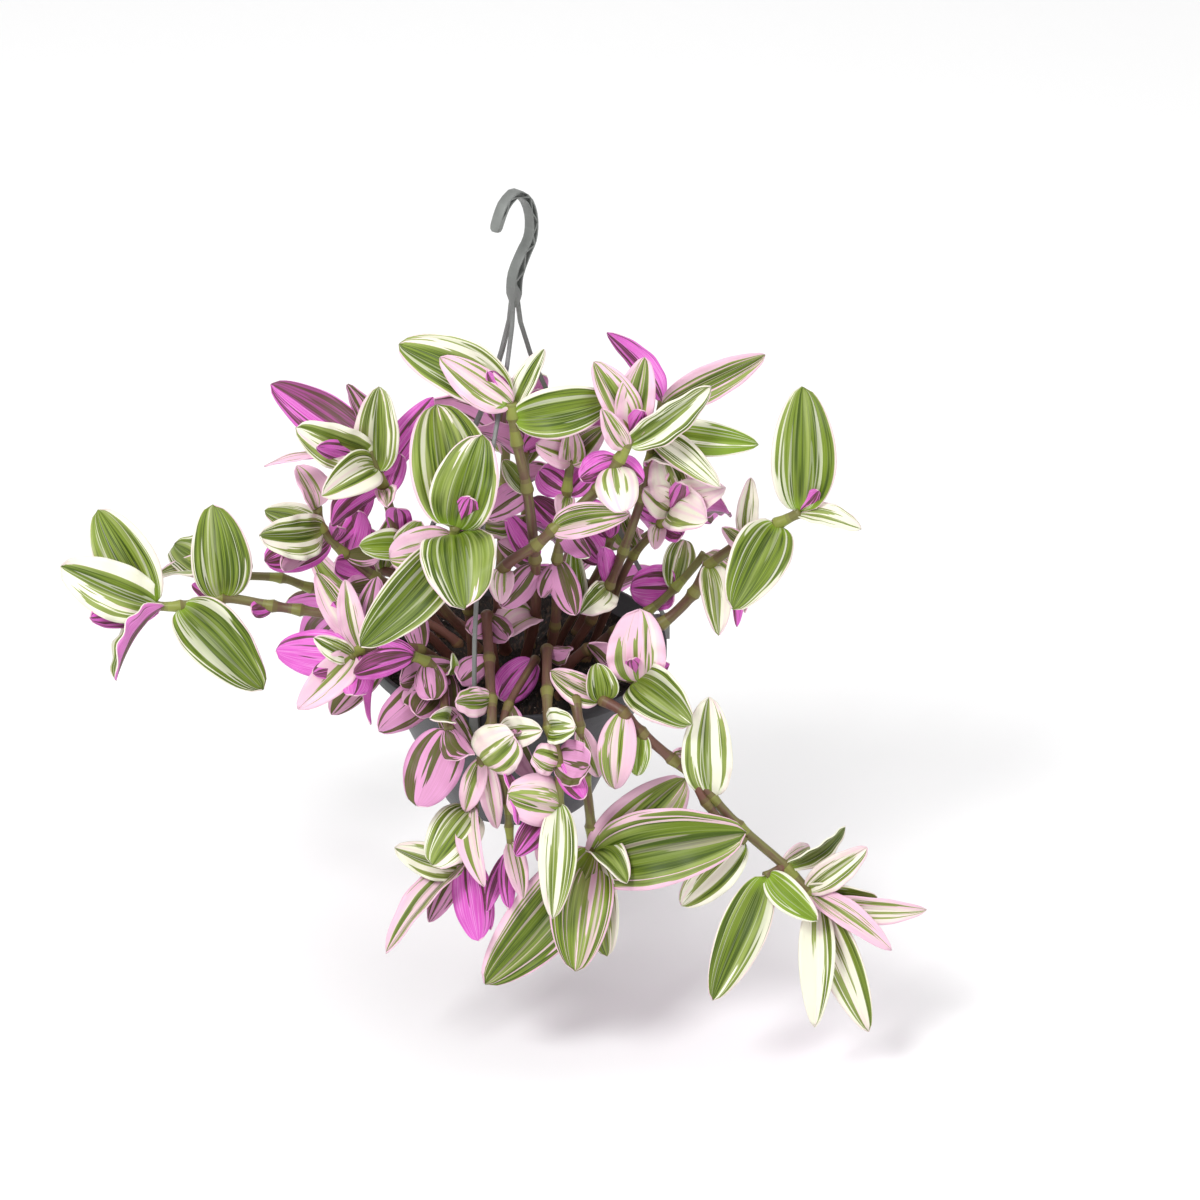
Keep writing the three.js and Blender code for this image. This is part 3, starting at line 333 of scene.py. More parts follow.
def blade_face(name, upper):
    """The finish of the upper faces of the leaves, or of their backs.

    Each blade carries its own place across and along, its shares of white, pink and magenta, and a seed."""
    finish = Finish(name, 0.4, Specular_IOR_Level=0.22)
    across, along, _ = finish.split(finish.node("ShaderNodeUVMap", {"uv_map": "blade"}))
    look = finish.node("ShaderNodeAttribute", {"attribute_name": "look"}, None, "Color")
    white, pink, seed = finish.split(look)
    magenta = finish.node("ShaderNodeAttribute", {"attribute_name": "magenta"}, None, "Fac")
    off_rib = abs(across * 2 - 1)
    chance = seed * SEED_SPREAD

    def streaks(fine, long):
        """Streaks along the blade: so many across it, and so many lengths end to end."""
        return finish.grain(finish.join(across * fine + chance, along * long, chance + fine), 1, 1)

    # Bands decide where the blade is bare of green, thin lines part the green, and ragged ones break both up.
    bands = streaks(4.5, 0.4)
    lines = streaks(6, 0.3)
    brushed = streaks(22, 1.4)
    ragged = streaks(24, 2.2)
    veins = streaks(70, 1.5)
    edge = off_rib ** 7
    tip = along.over(0.6, 1.0)
    heart = 1 - along.over(0.0, 0.22)
    fresh = 1 - pink.over(0.12, 0.22)
    blank = bands * 1.05 + ragged * 0.2 + edge * 0.26 + tip * 0.05 + white * 0.5
    line = (1 - abs(lines - 0.5) * 36 + ragged * 1.1).over(0.45, 0.8)
    bare = blank.over(0.86, 0.88)
    faded = blank.over(0.68, 0.86)
    rim = off_rib.over(0.93, 0.97)
    blush = (pink + edge * pink * 0.6 + tip * 0.15 + (lines - 0.5) * 1.4).over(0.25, 0.95)
    if upper:
        green = finish.mix(brushed.over(0.36, 0.64), DEEP_GREEN, LEAF_GREEN)
        green = finish.mix(veins.over(0.45, 0.75) * 0.5, green, PALE_GREEN)
        green = finish.mix(seed * 0.45, green, DEEP_GREEN)
        green = finish.mix(faded * 0.6, green, PALE_GREEN)
        green = finish.mix((heart * 0.7 + fresh * 0.5).over(0, 1), green, LIME)
        plain = finish.mix(blush, CREAM, PINK)
        lined = line * (off_rib * 0.7 + white * 0.8 + 0.05)
        colour = finish.mix((bare + lined + rim * 0.9).over(0, 1), green, plain)
    else:
        dull = finish.mix(magenta * magenta * 0.8, OLIVE, PLUM)
        dull = finish.mix(ragged.over(0.4, 0.7) * magenta * 0.4, dull, MAGENTA)
        bright = finish.mix(magenta, DUSTY_PINK, MAGENTA)
        bright = finish.mix(veins.over(0.42, 0.66) * (0.15 + magenta * 0.45), bright, ORCHID)
        striped = (bands * 0.7 + lines * 0.6 + ragged * 0.16 + edge * 0.1).over(0.71, 0.73)
        colour = finish.mix(striped, dull, bright)
    ribs = veins * 0.5 + ragged * 0.5 - (1 - off_rib.over(0.0, 0.07)) * 0.5
    return finish.paint(colour, 0.36 + veins * 0.12, ribs, 0.0003)


UPPER_FACE = blade_face("leaf_upper", True)
LEAF_BACK = blade_face("leaf_back", False)

STEM_OLIVE = (0.19, 0.185, 0.06)
STEM_PURPLE = (0.14, 0.07, 0.05)
STEM_LIME = (0.3, 0.36, 0.06)
STEM_RED = (0.2, 0.05, 0.04)
STEM_SCAR = (0.11, 0.06, 0.035)

skin = Finish("stem_skin", 0.4, Specular_IOR_Level=0.35)
round_stem, above_joint, _ = skin.split(skin.node("ShaderNodeUVMap", {"uv_map": "blade"}))
stem_look = skin.node("ShaderNodeAttribute", {"attribute_name": "look"}, None, "Color")
freshness, redness, stem_seed = skin.split(stem_look)
blotches = skin.grain(skin.place(), 70, 3)
stem_chance = stem_seed * SEED_SPREAD
streaks = skin.grain(skin.join(round_stem * 9 + stem_chance, above_joint * 0.6, stem_chance), 1, 2)
stem_colour = skin.mix((streaks * 0.9 + blotches * 0.6 + redness * 0.7 - 0.62).over(0.15, 0.6),
                       STEM_OLIVE, STEM_PURPLE)
stem_colour = skin.mix(redness.over(0.5, 1.0) * 0.45, stem_colour, STEM_RED)
sheath = 1 - (above_joint - freshness * 0.35).over(0.04, 0.2)
stem_colour = skin.mix(sheath * (0.05 + freshness * 0.65), stem_colour, STEM_LIME)
stem_colour = skin.mix((1 - above_joint.over(0.02, 0.07)) * 0.6, stem_colour, STEM_SCAR)
STEM_SKIN = skin.paint(stem_colour, 0.34 + streaks * 0.14, streaks, 0.00015)

# The plant is seen from the front and from well above, so the pot's rim is an open oval and the near stems
# hang down in front of it. Joints and leaf tips are written as across, up and near the eye, in millimetres,
# from the middle of the rim and in the plane through it that faces the eye.
VIEW_ELEVATION = math.radians(29)
VIEW_DISTANCE = 3000
VIEW_ACROSS = 41.5
VIEW_UP = 21


def toward_viewer(side):
    """The way from the plant to the eye, for a shoot that faces a side, in degrees from the front."""
    toward = Vector((0, -math.cos(VIEW_ELEVATION), math.sin(VIEW_ELEVATION)))
    return Matrix.Rotation(math.radians(side), 3, "Z") @ toward


def placed(seen, side=0):
    """A place written as across, up and near the eye, in millimetres from the rim's middle, in the frame."""
    across, up, near = seen
    shrink = 1 - near / VIEW_DISTANCE
    rise = VIEW_UP + (up - VIEW_UP) * shrink
    point = Vector((VIEW_ACROSS + (across - VIEW_ACROSS) * shrink,
                    rise * math.sin(VIEW_ELEVATION) - near * math.cos(VIEW_ELEVATION),
                    rise * math.cos(VIEW_ELEVATION) + near * math.sin(VIEW_ELEVATION)))
    return (Matrix.Rotation(math.radians(side), 3, "Z") @ point - HOOK_BEARING * UPRIGHT) * MM


# A blade's width, waves, bend, curl and groove are shares of its own width or length.
BLADE_THICKNESS = 0.7
BLADE_ROWS = 26
BLADE_COLUMNS = 12
BLADE_BELLY = 0.84
BLADE_FULLNESS = 0.68
ROUND_FULLNESS = 0.34
BLADE_FOOT = 0.03
BLADE_WAVE = 0.06
BLADE_BEND = 0.09
LEAST_CURL = 0.02
MORE_CURL = 0.05
LIFT_POWER = 1.3
GROOVE_DEPTH = 0.035
GROOVE_REACH = 0.12
LEAF_SPACING = 2
CHANCE_SCALE = 900
STEM_SIDES = 14
STEM_STEP = 2.0
STEM_FOOT = -26
STEM_THINNING = 0.11
JOINT_SWELL = 0.24
JOINT_REACH = 2.2
SHEATH_SWELL = 0.13
SHEATH_LENGTH = 7
SKIN_LENGTH = 18

# The shares of white, of pink and of magenta in each kind of colouring.
LOOKS = {
    "green": (0.04, 0.3, 0.75),
    "edged": (0.16, 0.75, 0.75),
    "striped": (0.36, 0.25, 0.7),
    "white": (0.5, 0.45, 0.7),
    "pink": (0.46, 0.8, 0.3),
    "magenta": (0.4, 0.9, 1.0),
    "lime": (0.1, 0.1, 0.5),
    "olive": (0.2, 0.5, 0.1),
}

# A shoot is the side that it faces, in degrees, and its stems. A stem is its radius, where it stands in the
# soil unless it branches off another, its joints as across, up and near, and its leaves. A leaf is the joint
# that it grows from, its tip's across, up and near, its width, the turn of its upper face away from the eye
# in degrees, the rise of its back, the lift of its edges, and its colouring.
SHOOTS = {
    # Long stem that leaves the pot low on the left, behind the other one.
    "stem_left_rear": (0, [
        (2.3, (-30, 14),
         [(-52, 13, -14), (-76, 20, -14), (-103, 27, -8), (-118, 32, -2), (-138, 33, 2),
         (-148, 32, 3)],
         [(4, -141, 45, 8, 12, 20, 2, 2, "green"), (5, -180, 34, -4, 20, 60, 3, 3, "striped"),
          (5, -172, 50, -22, 24, 20, 4, 3, "green"), (1, -92, 6, -30, 22, 20, 4, 3, "green")]),
    ]),
    # Long stem that leaves the pot low on the left, in front.
    "stem_left_front": (0, [
        (2.6, (-34, 0),
         [(-56, 11, 20), (-82, 12, 22), (-108, 16, 22), (-122, 18, 22), (-147, 22, 22),
         (-168, 18, 22), (-182, 18, 22)],
         [(4, -152, 68, 36, 30, 0, 6, 4, "green"), (4, -163, 29, 30, 8, 180, 1, 2, "magenta"),
          (3, -133, 16, 29, 9, 180, 1, 3, "magenta"), (5, -128, -23, 42, 31, 0, 6, 5, "green"),
          (6, -210, 66, 22, 30, -10, 5, 5, "green"), (6, -228, 38, 32, 29, 5, 5, 4, "striped"),
          (6, -214, 12, 38, 17, 180, 3, 4, "magenta"), (6, -202, -18, 36, 24, 85, 4, 7, "green")]),
    ]),
    # Stem up to the left that carries the lower of the two left heads.
    "stem_left_up": (0, [
        (2.4, (-22, 22),
         [(-46, 20, -14), (-70, 32, 0), (-86, 44, 10), (-97, 56, 20), (-100, 67, 28)],
         [(3, -128, 53, 42, 23, -10, 4, 4, "striped"), (3, -126, 66, 20, 16, 10, 3, 3, "green"),
          (4, -110, 88, 34, 17, 30, 3, 5, "pink"), (3, -119, 37, 38, 15, 150, 3, 3, "olive"),
          (3, -126, 40, 22, 22, 180, 3, 4, "magenta"), (3, -89, 58, 36, 9, 180, 1, 3, "magenta"),
          (2, -66, 47, 30, 14, 160, 3, 3, "olive"), (1, -92, 40, 18, 15, 180, 3, 3, "magenta"),
          (1, -86, 27, 14, 10, 180, 2, 2, "pink"), (2, -78, 66, 24, 13, 170, 3, 3, "magenta"),
          (3, -72, 76, 24, 14, 180, 3, 3, "magenta")]),
    ]),
    # Stem up to the left that carries the higher left head.
    "stem_left_top": (0, [
        (2.6, (-20, 8),
         [(-41, 22, 18), (-58, 50, 34), (-67, 78, 44), (-74, 96, 52)],
         [(3, -122, 129, 42, 25, 170, 5, 4, "magenta"), (3, -110, 107, 66, 23, -15, 4, 3, "striped"),
          (3, -84, 129, 50, 14, 150, 2, 4, "pink"), (3, -101, 98, 76, 11, 170, 2, 3, "magenta"),
          (3, -126, 91, 58, 13, 70, 3, 2, "magenta"), (3, -96, 74, 78, 21, 0, 4, 5, "striped"),
          (3, -69, 127, 62, 23, -10, 3, 4, "striped"), (3, -42, 122, 40, 16, 180, 3, 3, "magenta"),
          (2, -94, 59, 64, 15, 150, 5, 4, "magenta"), (2, -65, 69, 66, 11, 0, 1, 2, "pink"),
          (1, -60, 68, 56, 13, 170, 3, 3, "magenta"), (1, -78, 48, 46, 16, 0, 3, 3, "lime"),
          (2, -58, 94, 46, 13, 180, 3, 3, "magenta"), (1, -48, 60, 44, 16, 0, 3, 3, "green")]),
    ]),
    # Head in front on the left, with the largest upright leaves.
    "stem_front_head": (0, [
        (2.6, (-22, -6),
         [(-24, 16, 28), (-28, 38, 68), (-31, 51, 90), (-31, 58, 98)],
         [(3, -40, 119, 90, 40, 0, 6, 5, "green"), (3, -18, 103, 112, 32, 0, 6, 4, "green"),
          (3, -23, 73, 118, 12, 180, 1, 3, "magenta"), (3, -26, 18, 122, 37, 0, 8, 3, "green"),
          (2, -78, -2, 102, 28, 0, 6, 4, "green"), (2, -64, 42, 84, 24, 0, 5, 4, "pink")]),
    ]),
    # Tallest stem, between the legs of the hanger.
    "stem_top": (0, [
        (2.7, (4, -4),
         [(9, 12, 20), (9, 41, 54), (5, 76, 80), (0, 99, 92), (-2, 112, 96),
         (-3, 120, 99)],
         [(5, -59, 150, 94, 29, 10, 5, 6, "green"), (5, -38, 142, 110, 19, 0, 3, 5, "pink"),
          (5, -15, 136, 114, 9, 180, 1, 3, "magenta"), (5, 13, 147, 94, 12, -20, 2, 3, "striped"),
          (4, 47, 121, 94, 25, 5, 8, 4, "green"), (2, -15, 63, 70, 16, 180, 2, 2, "pink"),
          (2, -7, 91, 76, 10, 0, 2, 2, "green"), (0, -12, 2, 40, 20, 30, 5, 6, "pink"),
          (1, -5, 64, 42, 13, 180, 3, 3, "magenta"), (1, -9, 50, 40, 14, 180, 3, 3, "olive"),
          (1, -8, 17, 58, 15, 180, 3, 3, "pink")]),
    ]),
    # Thick stem that crosses to the pink head on the upper right.
    "stem_pink_head": (0, [
        (2.8, (-6, 6),
         [(-9, 14, 26), (-7, 36, 62), (9, 48, 72), (18, 56, 76), (40, 76, 82),
         (51, 91, 87), (58, 104, 92)],
         [(6, 39, 140, 100, 19, 10, 3, 5, "pink"), (6, 64, 142, 98, 19, 0, 3, 5, "pink"),
          (6, 63, 117, 110, 9, 180, 1, 3, "magenta"), (6, 97, 127, 104, 19, 30, 4, 5, "striped"),
          (6, 43, 116, 108, 12, 0, 2, 2, "pink"), (5, 31, 82, 92, 14, 170, 3, 3, "magenta"),
          (5, 63, 80, 80, 13, 180, 2, 2, "magenta"), (5, 53, 66, 102, 21, 0, 3, -3, "white"),
          (3, 55, 64, 92, 17, 0, 3, 4, "pink"), (1, -8, 20, 74, 13, 0, 2, 2, "pink")]),
    ]),
    # Stem behind it with a striped pink head.
    "stem_middle": (0, [
        (2.4, (14, -10),
         [(19, 8, 26), (20, 41, 48), (24, 60, 57), (25, 76, 63), (27, 92, 70)],
         [(4, 10, 99, 82, 16, 0, 2, 4, "pink"), (4, 43, 107, 80, 15, 0, 2, 5, "pink"),
          (4, 27, 107, 86, 13, 0, 1, 4, "magenta"), (3, 11, 86, 68, 16, 180, 3, 3, "magenta"),
          (3, 41, 92, 62, 15, 180, 3, 3, "magenta"), (3, 22, 62, 74, 10, 0, 2, 2, "pink"),
          (1, 29, 13, 62, 15, 170, 2, 2, "pink"), (1, 12, 22, 58, 9, 180, 1, 2, "pink"),
          (2, 36, 42, 60, 12, 160, 3, 3, "lime"), (2, 8, 72, 54, 13, 180, 3, 3, "magenta"),
          (2, 42, 70, 50, 14, 180, 3, 3, "magenta")]),
    ]),
    # Stem to the upper right with the long pale leaves.
    "stem_right_top": (0, [
        (2.4, (26, 0),
         [(37, 11, 12), (46, 28, 24), (53, 45, 36), (62, 71, 50), (66, 89, 60),
         (69, 106, 67), (73, 120, 71)],
         [(6, 46, 155, 66, 13, 160, 6, 3, "magenta"), (6, 124, 143, 78, 18, 10, 6, 4, "pink"),
          (5, 120, 99, 80, 18, 0, 4, 3, "lime"), (5, 84, 119, 62, 11, 0, 2, 2, "green"),
          (4, 89, 86, 74, 19, -40, 9, 4, "green"), (5, 101, 78, 86, 15, 0, 5, 4, "striped"),
          (1, 43, 48, 44, 10, 180, 2, 2, "magenta"), (3, 44, 88, 40, 15, 180, 3, 3, "magenta"),
          (3, 80, 62, 40, 13, 180, 3, 3, "magenta"), (1, 33, 15, 46, 16, 0, 2, 3, "striped")]),
    ]),
    # Short stem behind, magenta leaf backs only.
    "stem_right_inner": (0, [
        (2.2, (20, 10),
         [(31, 18, 4), (43, 40, 20), (47, 52, 28)],
         [(2, 43, 66, 38, 15, 180, 3, 3, "magenta"), (0, 28, 48, 20, 12, 0, 4, 3, "lime"),
          (1, 26, 62, 10, 16, 180, 3, 3, "magenta")]),
    ]),
    # White and pink head on the right.
    "stem_white_head": (0, [
        (2.2, (38, 12),
         [(48, 22, 4), (58, 43, 24), (72, 59, 44), (80, 72, 56)],
         [(3, 72, 94, 66, 21, 0, 2, 4, "white"), (3, 91, 93, 64, 19, 0, 2, 3, "pink"),
          (3, 103, 77, 76, 18, 0, 2, 4, "white"), (3, 94, 62, 78, 24, 0, 3, 3, "white"),
          (3, 64, 76, 66, 16, 0, 2, 2, "white"), (3, 83, 80, 86, 10, 180, 1, 3, "magenta"),
          (2, 83, 53, 56, 11, 180, 1, 2, "magenta"), (2, 69, 47, 52, 9, 0, 1, 2, "pink")]),
    ]),
    # Thick stem over the rim on the right, out to the far right head.
    "stem_far_right": (0, [
        (2.8, (24, -14),
         [(35, -4, 14), (48, -3, 16), (72, 9, 18), (88, 24, 24), (96, 38, 32),
         (114, 51, 44), (130, 59, 54), (142, 65, 60)],
         [(7, 143, 127, 72, 32, 0, 5, 5, "green"), (7, 172, 57, 68, 13, -30, 2, 3, "striped"),
          (7, 151, 76, 72, 8, 180, 1, 3, "magenta"), (6, 108, 17, 78, 29, 0, 6, 4, "green"),
          (5, 117, 82, 52, 11, 10, 2, 3, "striped"), (5, 103, 57, 58, 9, 0, 2, 2, "pink"),
          (4, 101, 5, 54, 16, 0, 4, 3, "striped"), (5, 114, 15, 58, 8, 0, 2, 2, "pink"),
          (5, 110, 7, 52, 7, 180, 2, 2, "magenta")]),
    ]),
    # Cut stem beside it.
    "stem_right_cut": (0, [
        (2.3, (34, -2),
         [(48, 5, 2), (65, 15, 6), (79, 27, 12), (94, 44, 18)],
         [(2, 57, 27, 4, 23, 180, 2, 3, "magenta"), (2, 84, 52, -8, 16, 0, 3, 3, "green"),
          (3, 112, 30, 4, 18, 0, 3, 3, "pink")]),
    ]),
    # Short stem over the rim on the right with the upright pink leaf.
    "stem_right_rim": (0, [
        (2.3, (40, -22),
         [(50, -17, 42), (61, -20, 58)],
         [(1, 61, 16, 68, 29, 0, 5, 5, "pink"), (1, 57, -8, 76, 8, 180, 1, 3, "magenta"),
          (0, 36, 0, 50, 13, 150, 2, 3, "olive"), (0, 57, 10, 52, 14, 180, 3, 3, "magenta"),
          (0, 72, -14, 56, 9, 180, 1, 3, "magenta"), (1, 86, -40, 82, 26, 0, 6, 4, "green"),
          (1, 76, -11, 50, 9, 180, 1, 2, "magenta")]),
    ]),
    # Long stem that trails to the lower right.
    "stem_trailing_right": (0, [
        (2.6, (30, -30),
         [(38, -24, 50), (43, -29, 60), (53, -35, 64), (62, -45, 63), (77, -58, 61),
         (87, -66, 58), (97, -77, 54), (111, -92, 48), (134, -112, 40), (145, -124, 36),
         (151, -130, 34)],
         [(1, 40, -11, 68, 16, 0, 2, 3, "green"), (1, 17, -15, 64, 16, 0, 3, 4, "pink"),
          (0, 47, -11, 60, 12, 150, 2, 3, "pink"), (2, 49, -74, 58, 19, 0, 5, 4, "pink"),
          (3, 60, -67, 60, 12, 0, 2, 2, "lime"), (4, 85, -57, 56, 9, 0, 1, 2, "pink"),
          (6, 96, -28, 66, 25, 0, 5, 5, "striped"), (8, 165, -93, 30, 12, 40, 5, 3, "green"),
          (8, 147, -102, 22, 9, 0, 2, 2, "white"), (9, 175, -103, 46, 16, 10, 4, 4, "white"),
          (9, 180, -128, 40, 12, 20, 2, 3, "green"), (10, 204, -135, 48, 15, 20, 2, 3, "white"),
          (10, 149, -192, 48, 18, 0, 6, 5, "striped"), (10, 176, -195, 36, 21, 0, 6, 5, "striped"),
          (10, 187, -153, 54, 14, -20, 4, 4, "pink")]),
        (2, None,
         [(87, -66, 58), (94, -80, 57), (105, -92, 52), (114, -100, 49)],
         [(3, 82, -132, 42, 21, 0, 6, 3, "striped")]),
        (2, None,
         [(134, -112, 40), (124, -117, 46)],
         [(1, 98, -179, 54, 24, 0, 8, 4, "green"), (1, 150, -139, 58, 16, 0, 4, 3, "lime")]),
    ]),
    # Stem over the rim to the large low leaves on the right.
    "stem_low_right": (0, [
        (2.6, (22, -38),
         [(26, -24, 53), (29, -29, 64), (31, -42, 67), (34, -66, 56), (37, -92, 44),
         (38, -113, 36)],
         [(5, 84, -69, 42, 34, 0, 6, 5, "edged"), (5, 113, -96, 66, 39, 0, 8, 5, "edged"),
          (5, 29, -164, 56, 31, 0, 7, 4, "edged"), (5, 45, -157, 42, 22, 0, 6, 4, "green"),
          (5, 55, -120, 60, 17, -40, 5, 6, "green"), (5, -16, -171, 44, 35, 0, 7, 5, "edged"),
          (2, 41, -68, 58, 11, 0, 2, 3, "pink")]),
    ]),
    # Stem over the front of the rim to the pink domed leaf.
    "stem_front_dome": (0, [
        (2.6, (14, -24),
         [(15, -4, 42), (15, -24, 66), (16, -42, 77), (21, -60, 73), (21, -82, 63)],
         [(4, -4, -76, 80, 26, 0, 7, -5, "pink"), (4, 18, -138, 72, 19, 0, 6, 4, "striped"),
          (4, -1, -107, 72, 15, 180, 3, 3, "magenta"), (4, 10, -110, 56, 9, 0, 1, 1, "pink"),
          (3, 9, -56, 84, 16, 0, 3, -3, "pink"), (0, 27, -5, 56, 11, 150, 2, 3, "pink"),
          (3, 37, -62, 92, 23, 180, 3, -3, "pink"), (3, 34, -79, 88, 12, 180, 2, 4, "magenta"),
          (2, 29, -42, 86, 18, 0, 3, 3, "striped")]),
    ]),
    # Thin stem beside it with drooping magenta leaves.
    "stem_front_thin": (0, [
        (2, (4, -22),
         [(9, -9, 40), (-4, -31, 64), (-8, -46, 72), (-8, -62, 68), (-5, -80, 58),
         (-4, -92, 52), (-3, -104, 48)],
         [(6, -15, -135, 60, 8, 180, 2, 2, "magenta"), (6, -4, -134, 64, 9, 170, 2, 3, "magenta"),
          (6, 3, -128, 58, 11, 0, 3, 3, "pink"), (0, -9, -29, 50, 19, 180, 4, 4, "magenta"),
          (3, -1, -92, 76, 10, 120, -6, 2, "magenta"), (2, 12, -44, 86, 16, 0, 2, 2, "striped"),
          (1, 0, -46, 84, 11, 180, 2, 2, "pink"), (2, 9, -70, 60, 13, 180, 3, 3, "olive")]),
    ]),
    # Stem over the front of the rim to the low left leaves.
    "stem_front_low": (0, [
        (2.6, (-10, -26),
         [(-15, 13, 38), (-14, -8, 52), (-13, -28, 68), (-13, -42, 75), (-18, -60, 67),
         (-22, -84, 55), (-26, -112, 44)],
         [(5, -42, -111, 70, 26, 0, 6, -3, "striped"), (5, -17, -122, 70, 13, 20, 5, 5, "pink"),
          (6, -61, -103, 52, 18, 0, 4, 5, "striped"), (6, -66, -155, 58, 16, 40, 5, 5, "pink"),
          (6, -44, -140, 46, 13, 180, 3, 3, "pink"), (6, -19, -150, 62, 19, 180, 5, 4, "magenta"),
          (6, -13, -144, 50, 11, 180, 3, 3, "magenta"), (4, -2, -47, 88, 27, 0, 4, -4, "white"),
          (4, -26, -85, 62, 12, 0, 2, 3, "pink"), (4, -10, -94, 56, 11, 0, 2, 3, "pink"),
          (2, -30, -30, 96, 15, 0, 2, -3, "pink"), (0, -23, 3, 54, 12, 180, 1, 2, "pink"),
          (1, -29, -20, 74, 14, 180, 2, 3, "pink"), (0, -4, 1, 52, 13, 180, 2, 2, "pink")]),
    ]),
    # Short stem over the rim in front on the left.
    "stem_front_rim": (0, [
        (2.4, (-22, -28),
         [(-30, -13, 44), (-37, -16, 61), (-45, -10, 66), (-52, -7, 69)],
         [(3, -82, -16, 90, 14, 170, 3, 3, "magenta"), (3, -72, 1, 76, 10, 180, 2, 2, "magenta"),
          (1, -32, -6, 66, 7, 60, 3, 2, "lime"), (1, -57, -31, 70, 15, 180, 3, 3, "olive"),
          (2, -42, -29, 80, 16, 180, 2, 3, "pink"), (1, -51, -37, 78, 17, 180, 3, 3, "pink"),
          (1, -35, -41, 76, 15, 180, 3, 3, "pink"), (1, -70, -45, 84, 20, 180, 2, 4, "pink"),
          (0, -60, -21, 68, 18, 180, 2, 3, "pink")]),
        (2.2, None,
         [(-37, -16, 61), (-36, -34, 76), (-34, -44, 80)],
         [(2, -50, -82, 84, 28, 180, 6, 5, "pink"), (2, -24, -57, 94, 15, 150, 4, 5, "pink"),
          (2, -43, -38, 92, 9, 40, 3, 4, "green"), (1, -22, -54, 64, 13, 180, 3, 3, "olive")]),
    ]),
    # Stem over the rim on the left to the magenta head.
    "stem_left_low": (0, [
        (2.4, (-34, -16),
         [(-48, -4, 40), (-66, -3, 54), (-78, -4, 64), (-84, -8, 70)],
         [(2, -86, 31, 66, 13, 0, 2, 3, "pink"), (2, -70, 32, 52, 17, 180, 3, 3, "pink"),
          (2, -92, 20, 54, 17, 180, 3, 3, "magenta"), (2, -101, 35, 46, 15, 0, 3, 3, "pink"),
          (3, -120, -4, 60, 24, 180, 4, 4, "magenta"), (3, -101, 2, 80, 12, 0, 2, 3, "striped"),
          (3, -109, -33, 82, 18, 0, 4, 4, "pink"), (3, -103, -16, 88, 10, 180, 2, 3, "magenta"),
          (3, -82, -28, 92, 14, 180, 3, 4, "magenta"), (1, -93, -36, 50, 20, 170, 4, 4, "olive"),
          (1, -75, -41, 62, 8, 120, 3, 3, "magenta"), (0, -52, 16, 54, 13, 180, 2, 3, "pink")]),
    ]),
    # Upright head on the far side.
    "stem_far_head": (180, [
        (2.6, (10, -18),
         [(8, 12, 32), (6, 40, 62), (4, 62, 82)],
         [(2, 28, 112, 98, 28, 0, 5, 5, "green"), (2, -14, 110, 92, 23, 0, 4, 4, "striped"),
          (2, 44, 76, 96, 24, 0, 5, 4, "pink"), (2, 42, 30, 102, 24, 0, 6, 4, "green"),
          (2, -6, 20, 106, 25, 0, 7, 3, "striped"), (2, 4, 80, 100, 9, 180, 1, 3, "magenta"),
          (1, -24, 52, 68, 18, 0, 4, 4, "pink"), (1, 30, 28, 50, 16, 180, 4, 3, "magenta")]),
    ]),
    # Stem that trails over the far side of the rim.
    "stem_far_trailing": (180, [
        (2.6, (-18, -22),
         [(-24, -4, 44), (-28, -24, 66), (-32, -46, 70), (-36, -72, 60), (-40, -98, 48)],
         [(4, -70, -92, 64, 28, 0, 6, 5, "green"), (4, -2, -108, 66, 28, 0, 6, 4, "pink"),
          (4, -48, -156, 56, 26, 0, 7, 4, "green"), (4, -14, -138, 46, 18, 180, 4, 4, "magenta"),
          (3, -76, -58, 78, 22, 0, 5, 4, "striped"), (3, 0, -66, 84, 20, 0, 4, 4, "green"),
          (2, -66, -26, 84, 20, 0, 4, 4, "pink"), (1, -2, -12, 82, 20, 0, 4, 3, "striped")]),
    ]),
    # Stem over the far side of the rim to the right as seen from there.
    "stem_far_side": (180, [
        (2.5, (38, -24),
         [(56, 0, 34), (68, 0, 42), (75, -18, 51), (84, -42, 54), (90, -62, 48)],
         [(4, 122, -56, 56, 26, 0, 5, 5, "green"), (4, 112, -104, 58, 28, 0, 6, 4, "striped"),
          (4, 74, -118, 56, 26, 0, 7, 4, "green"), (4, 98, -60, 68, 10, 180, 1, 3, "magenta"),
          (3, 56, -84, 68, 22, 0, 5, 4, "pink"), (3, 106, -20, 66, 18, 180, 4, 3, "magenta"),
          (2, 92, 12, 64, 22, 0, 5, 4, "green"), (2, 54, -50, 80, 20, 0, 5, 4, "pink"),
          (1, 60, 26, 62, 17, 180, 4, 3, "magenta")]),
    ]),
    # Stem that leans out on the far left as seen from there.
    "stem_far_leaning": (180, [
        (2.5, (-30, -26),
         [(-46, 4, 38), (-60, 10, 50), (-76, 14, 60), (-88, 10, 66)],
         [(3, -110, 18, 66, 27, 0, 5, 5, "green"), (3, -92, 50, 52, 25, 0, 5, 4, "pink"),
          (3, -102, -20, 84, 27, 0, 6, 4, "striped"), (2, -62, 52, 62, 22, 0, 4, 4, "striped"),
          (2, -74, -30, 84, 24, 0, 6, 4, "green"), (1, -50, 36, 60, 20, 180, 4, 4, "magenta"),
          (1, -44, -26, 78, 22, 0, 5, 4, "pink")]),
    ]),
    # Tall stem on the far side.
    "stem_far_tall": (180, [
        (2.5, (-6, -12),
         [(-6, 22, 20), (-6, 62, 36), (-5, 98, 50)],
         [(2, -58, 128, 50, 23, 0, 4, 5, "green"), (2, -16, 144, 58, 23, 0, 4, 5, "striped"),
          (2, 22, 116, 52, 17, 0, 3, 4, "pink"), (2, -58, 78, 84, 24, 0, 5, 4, "pink"),
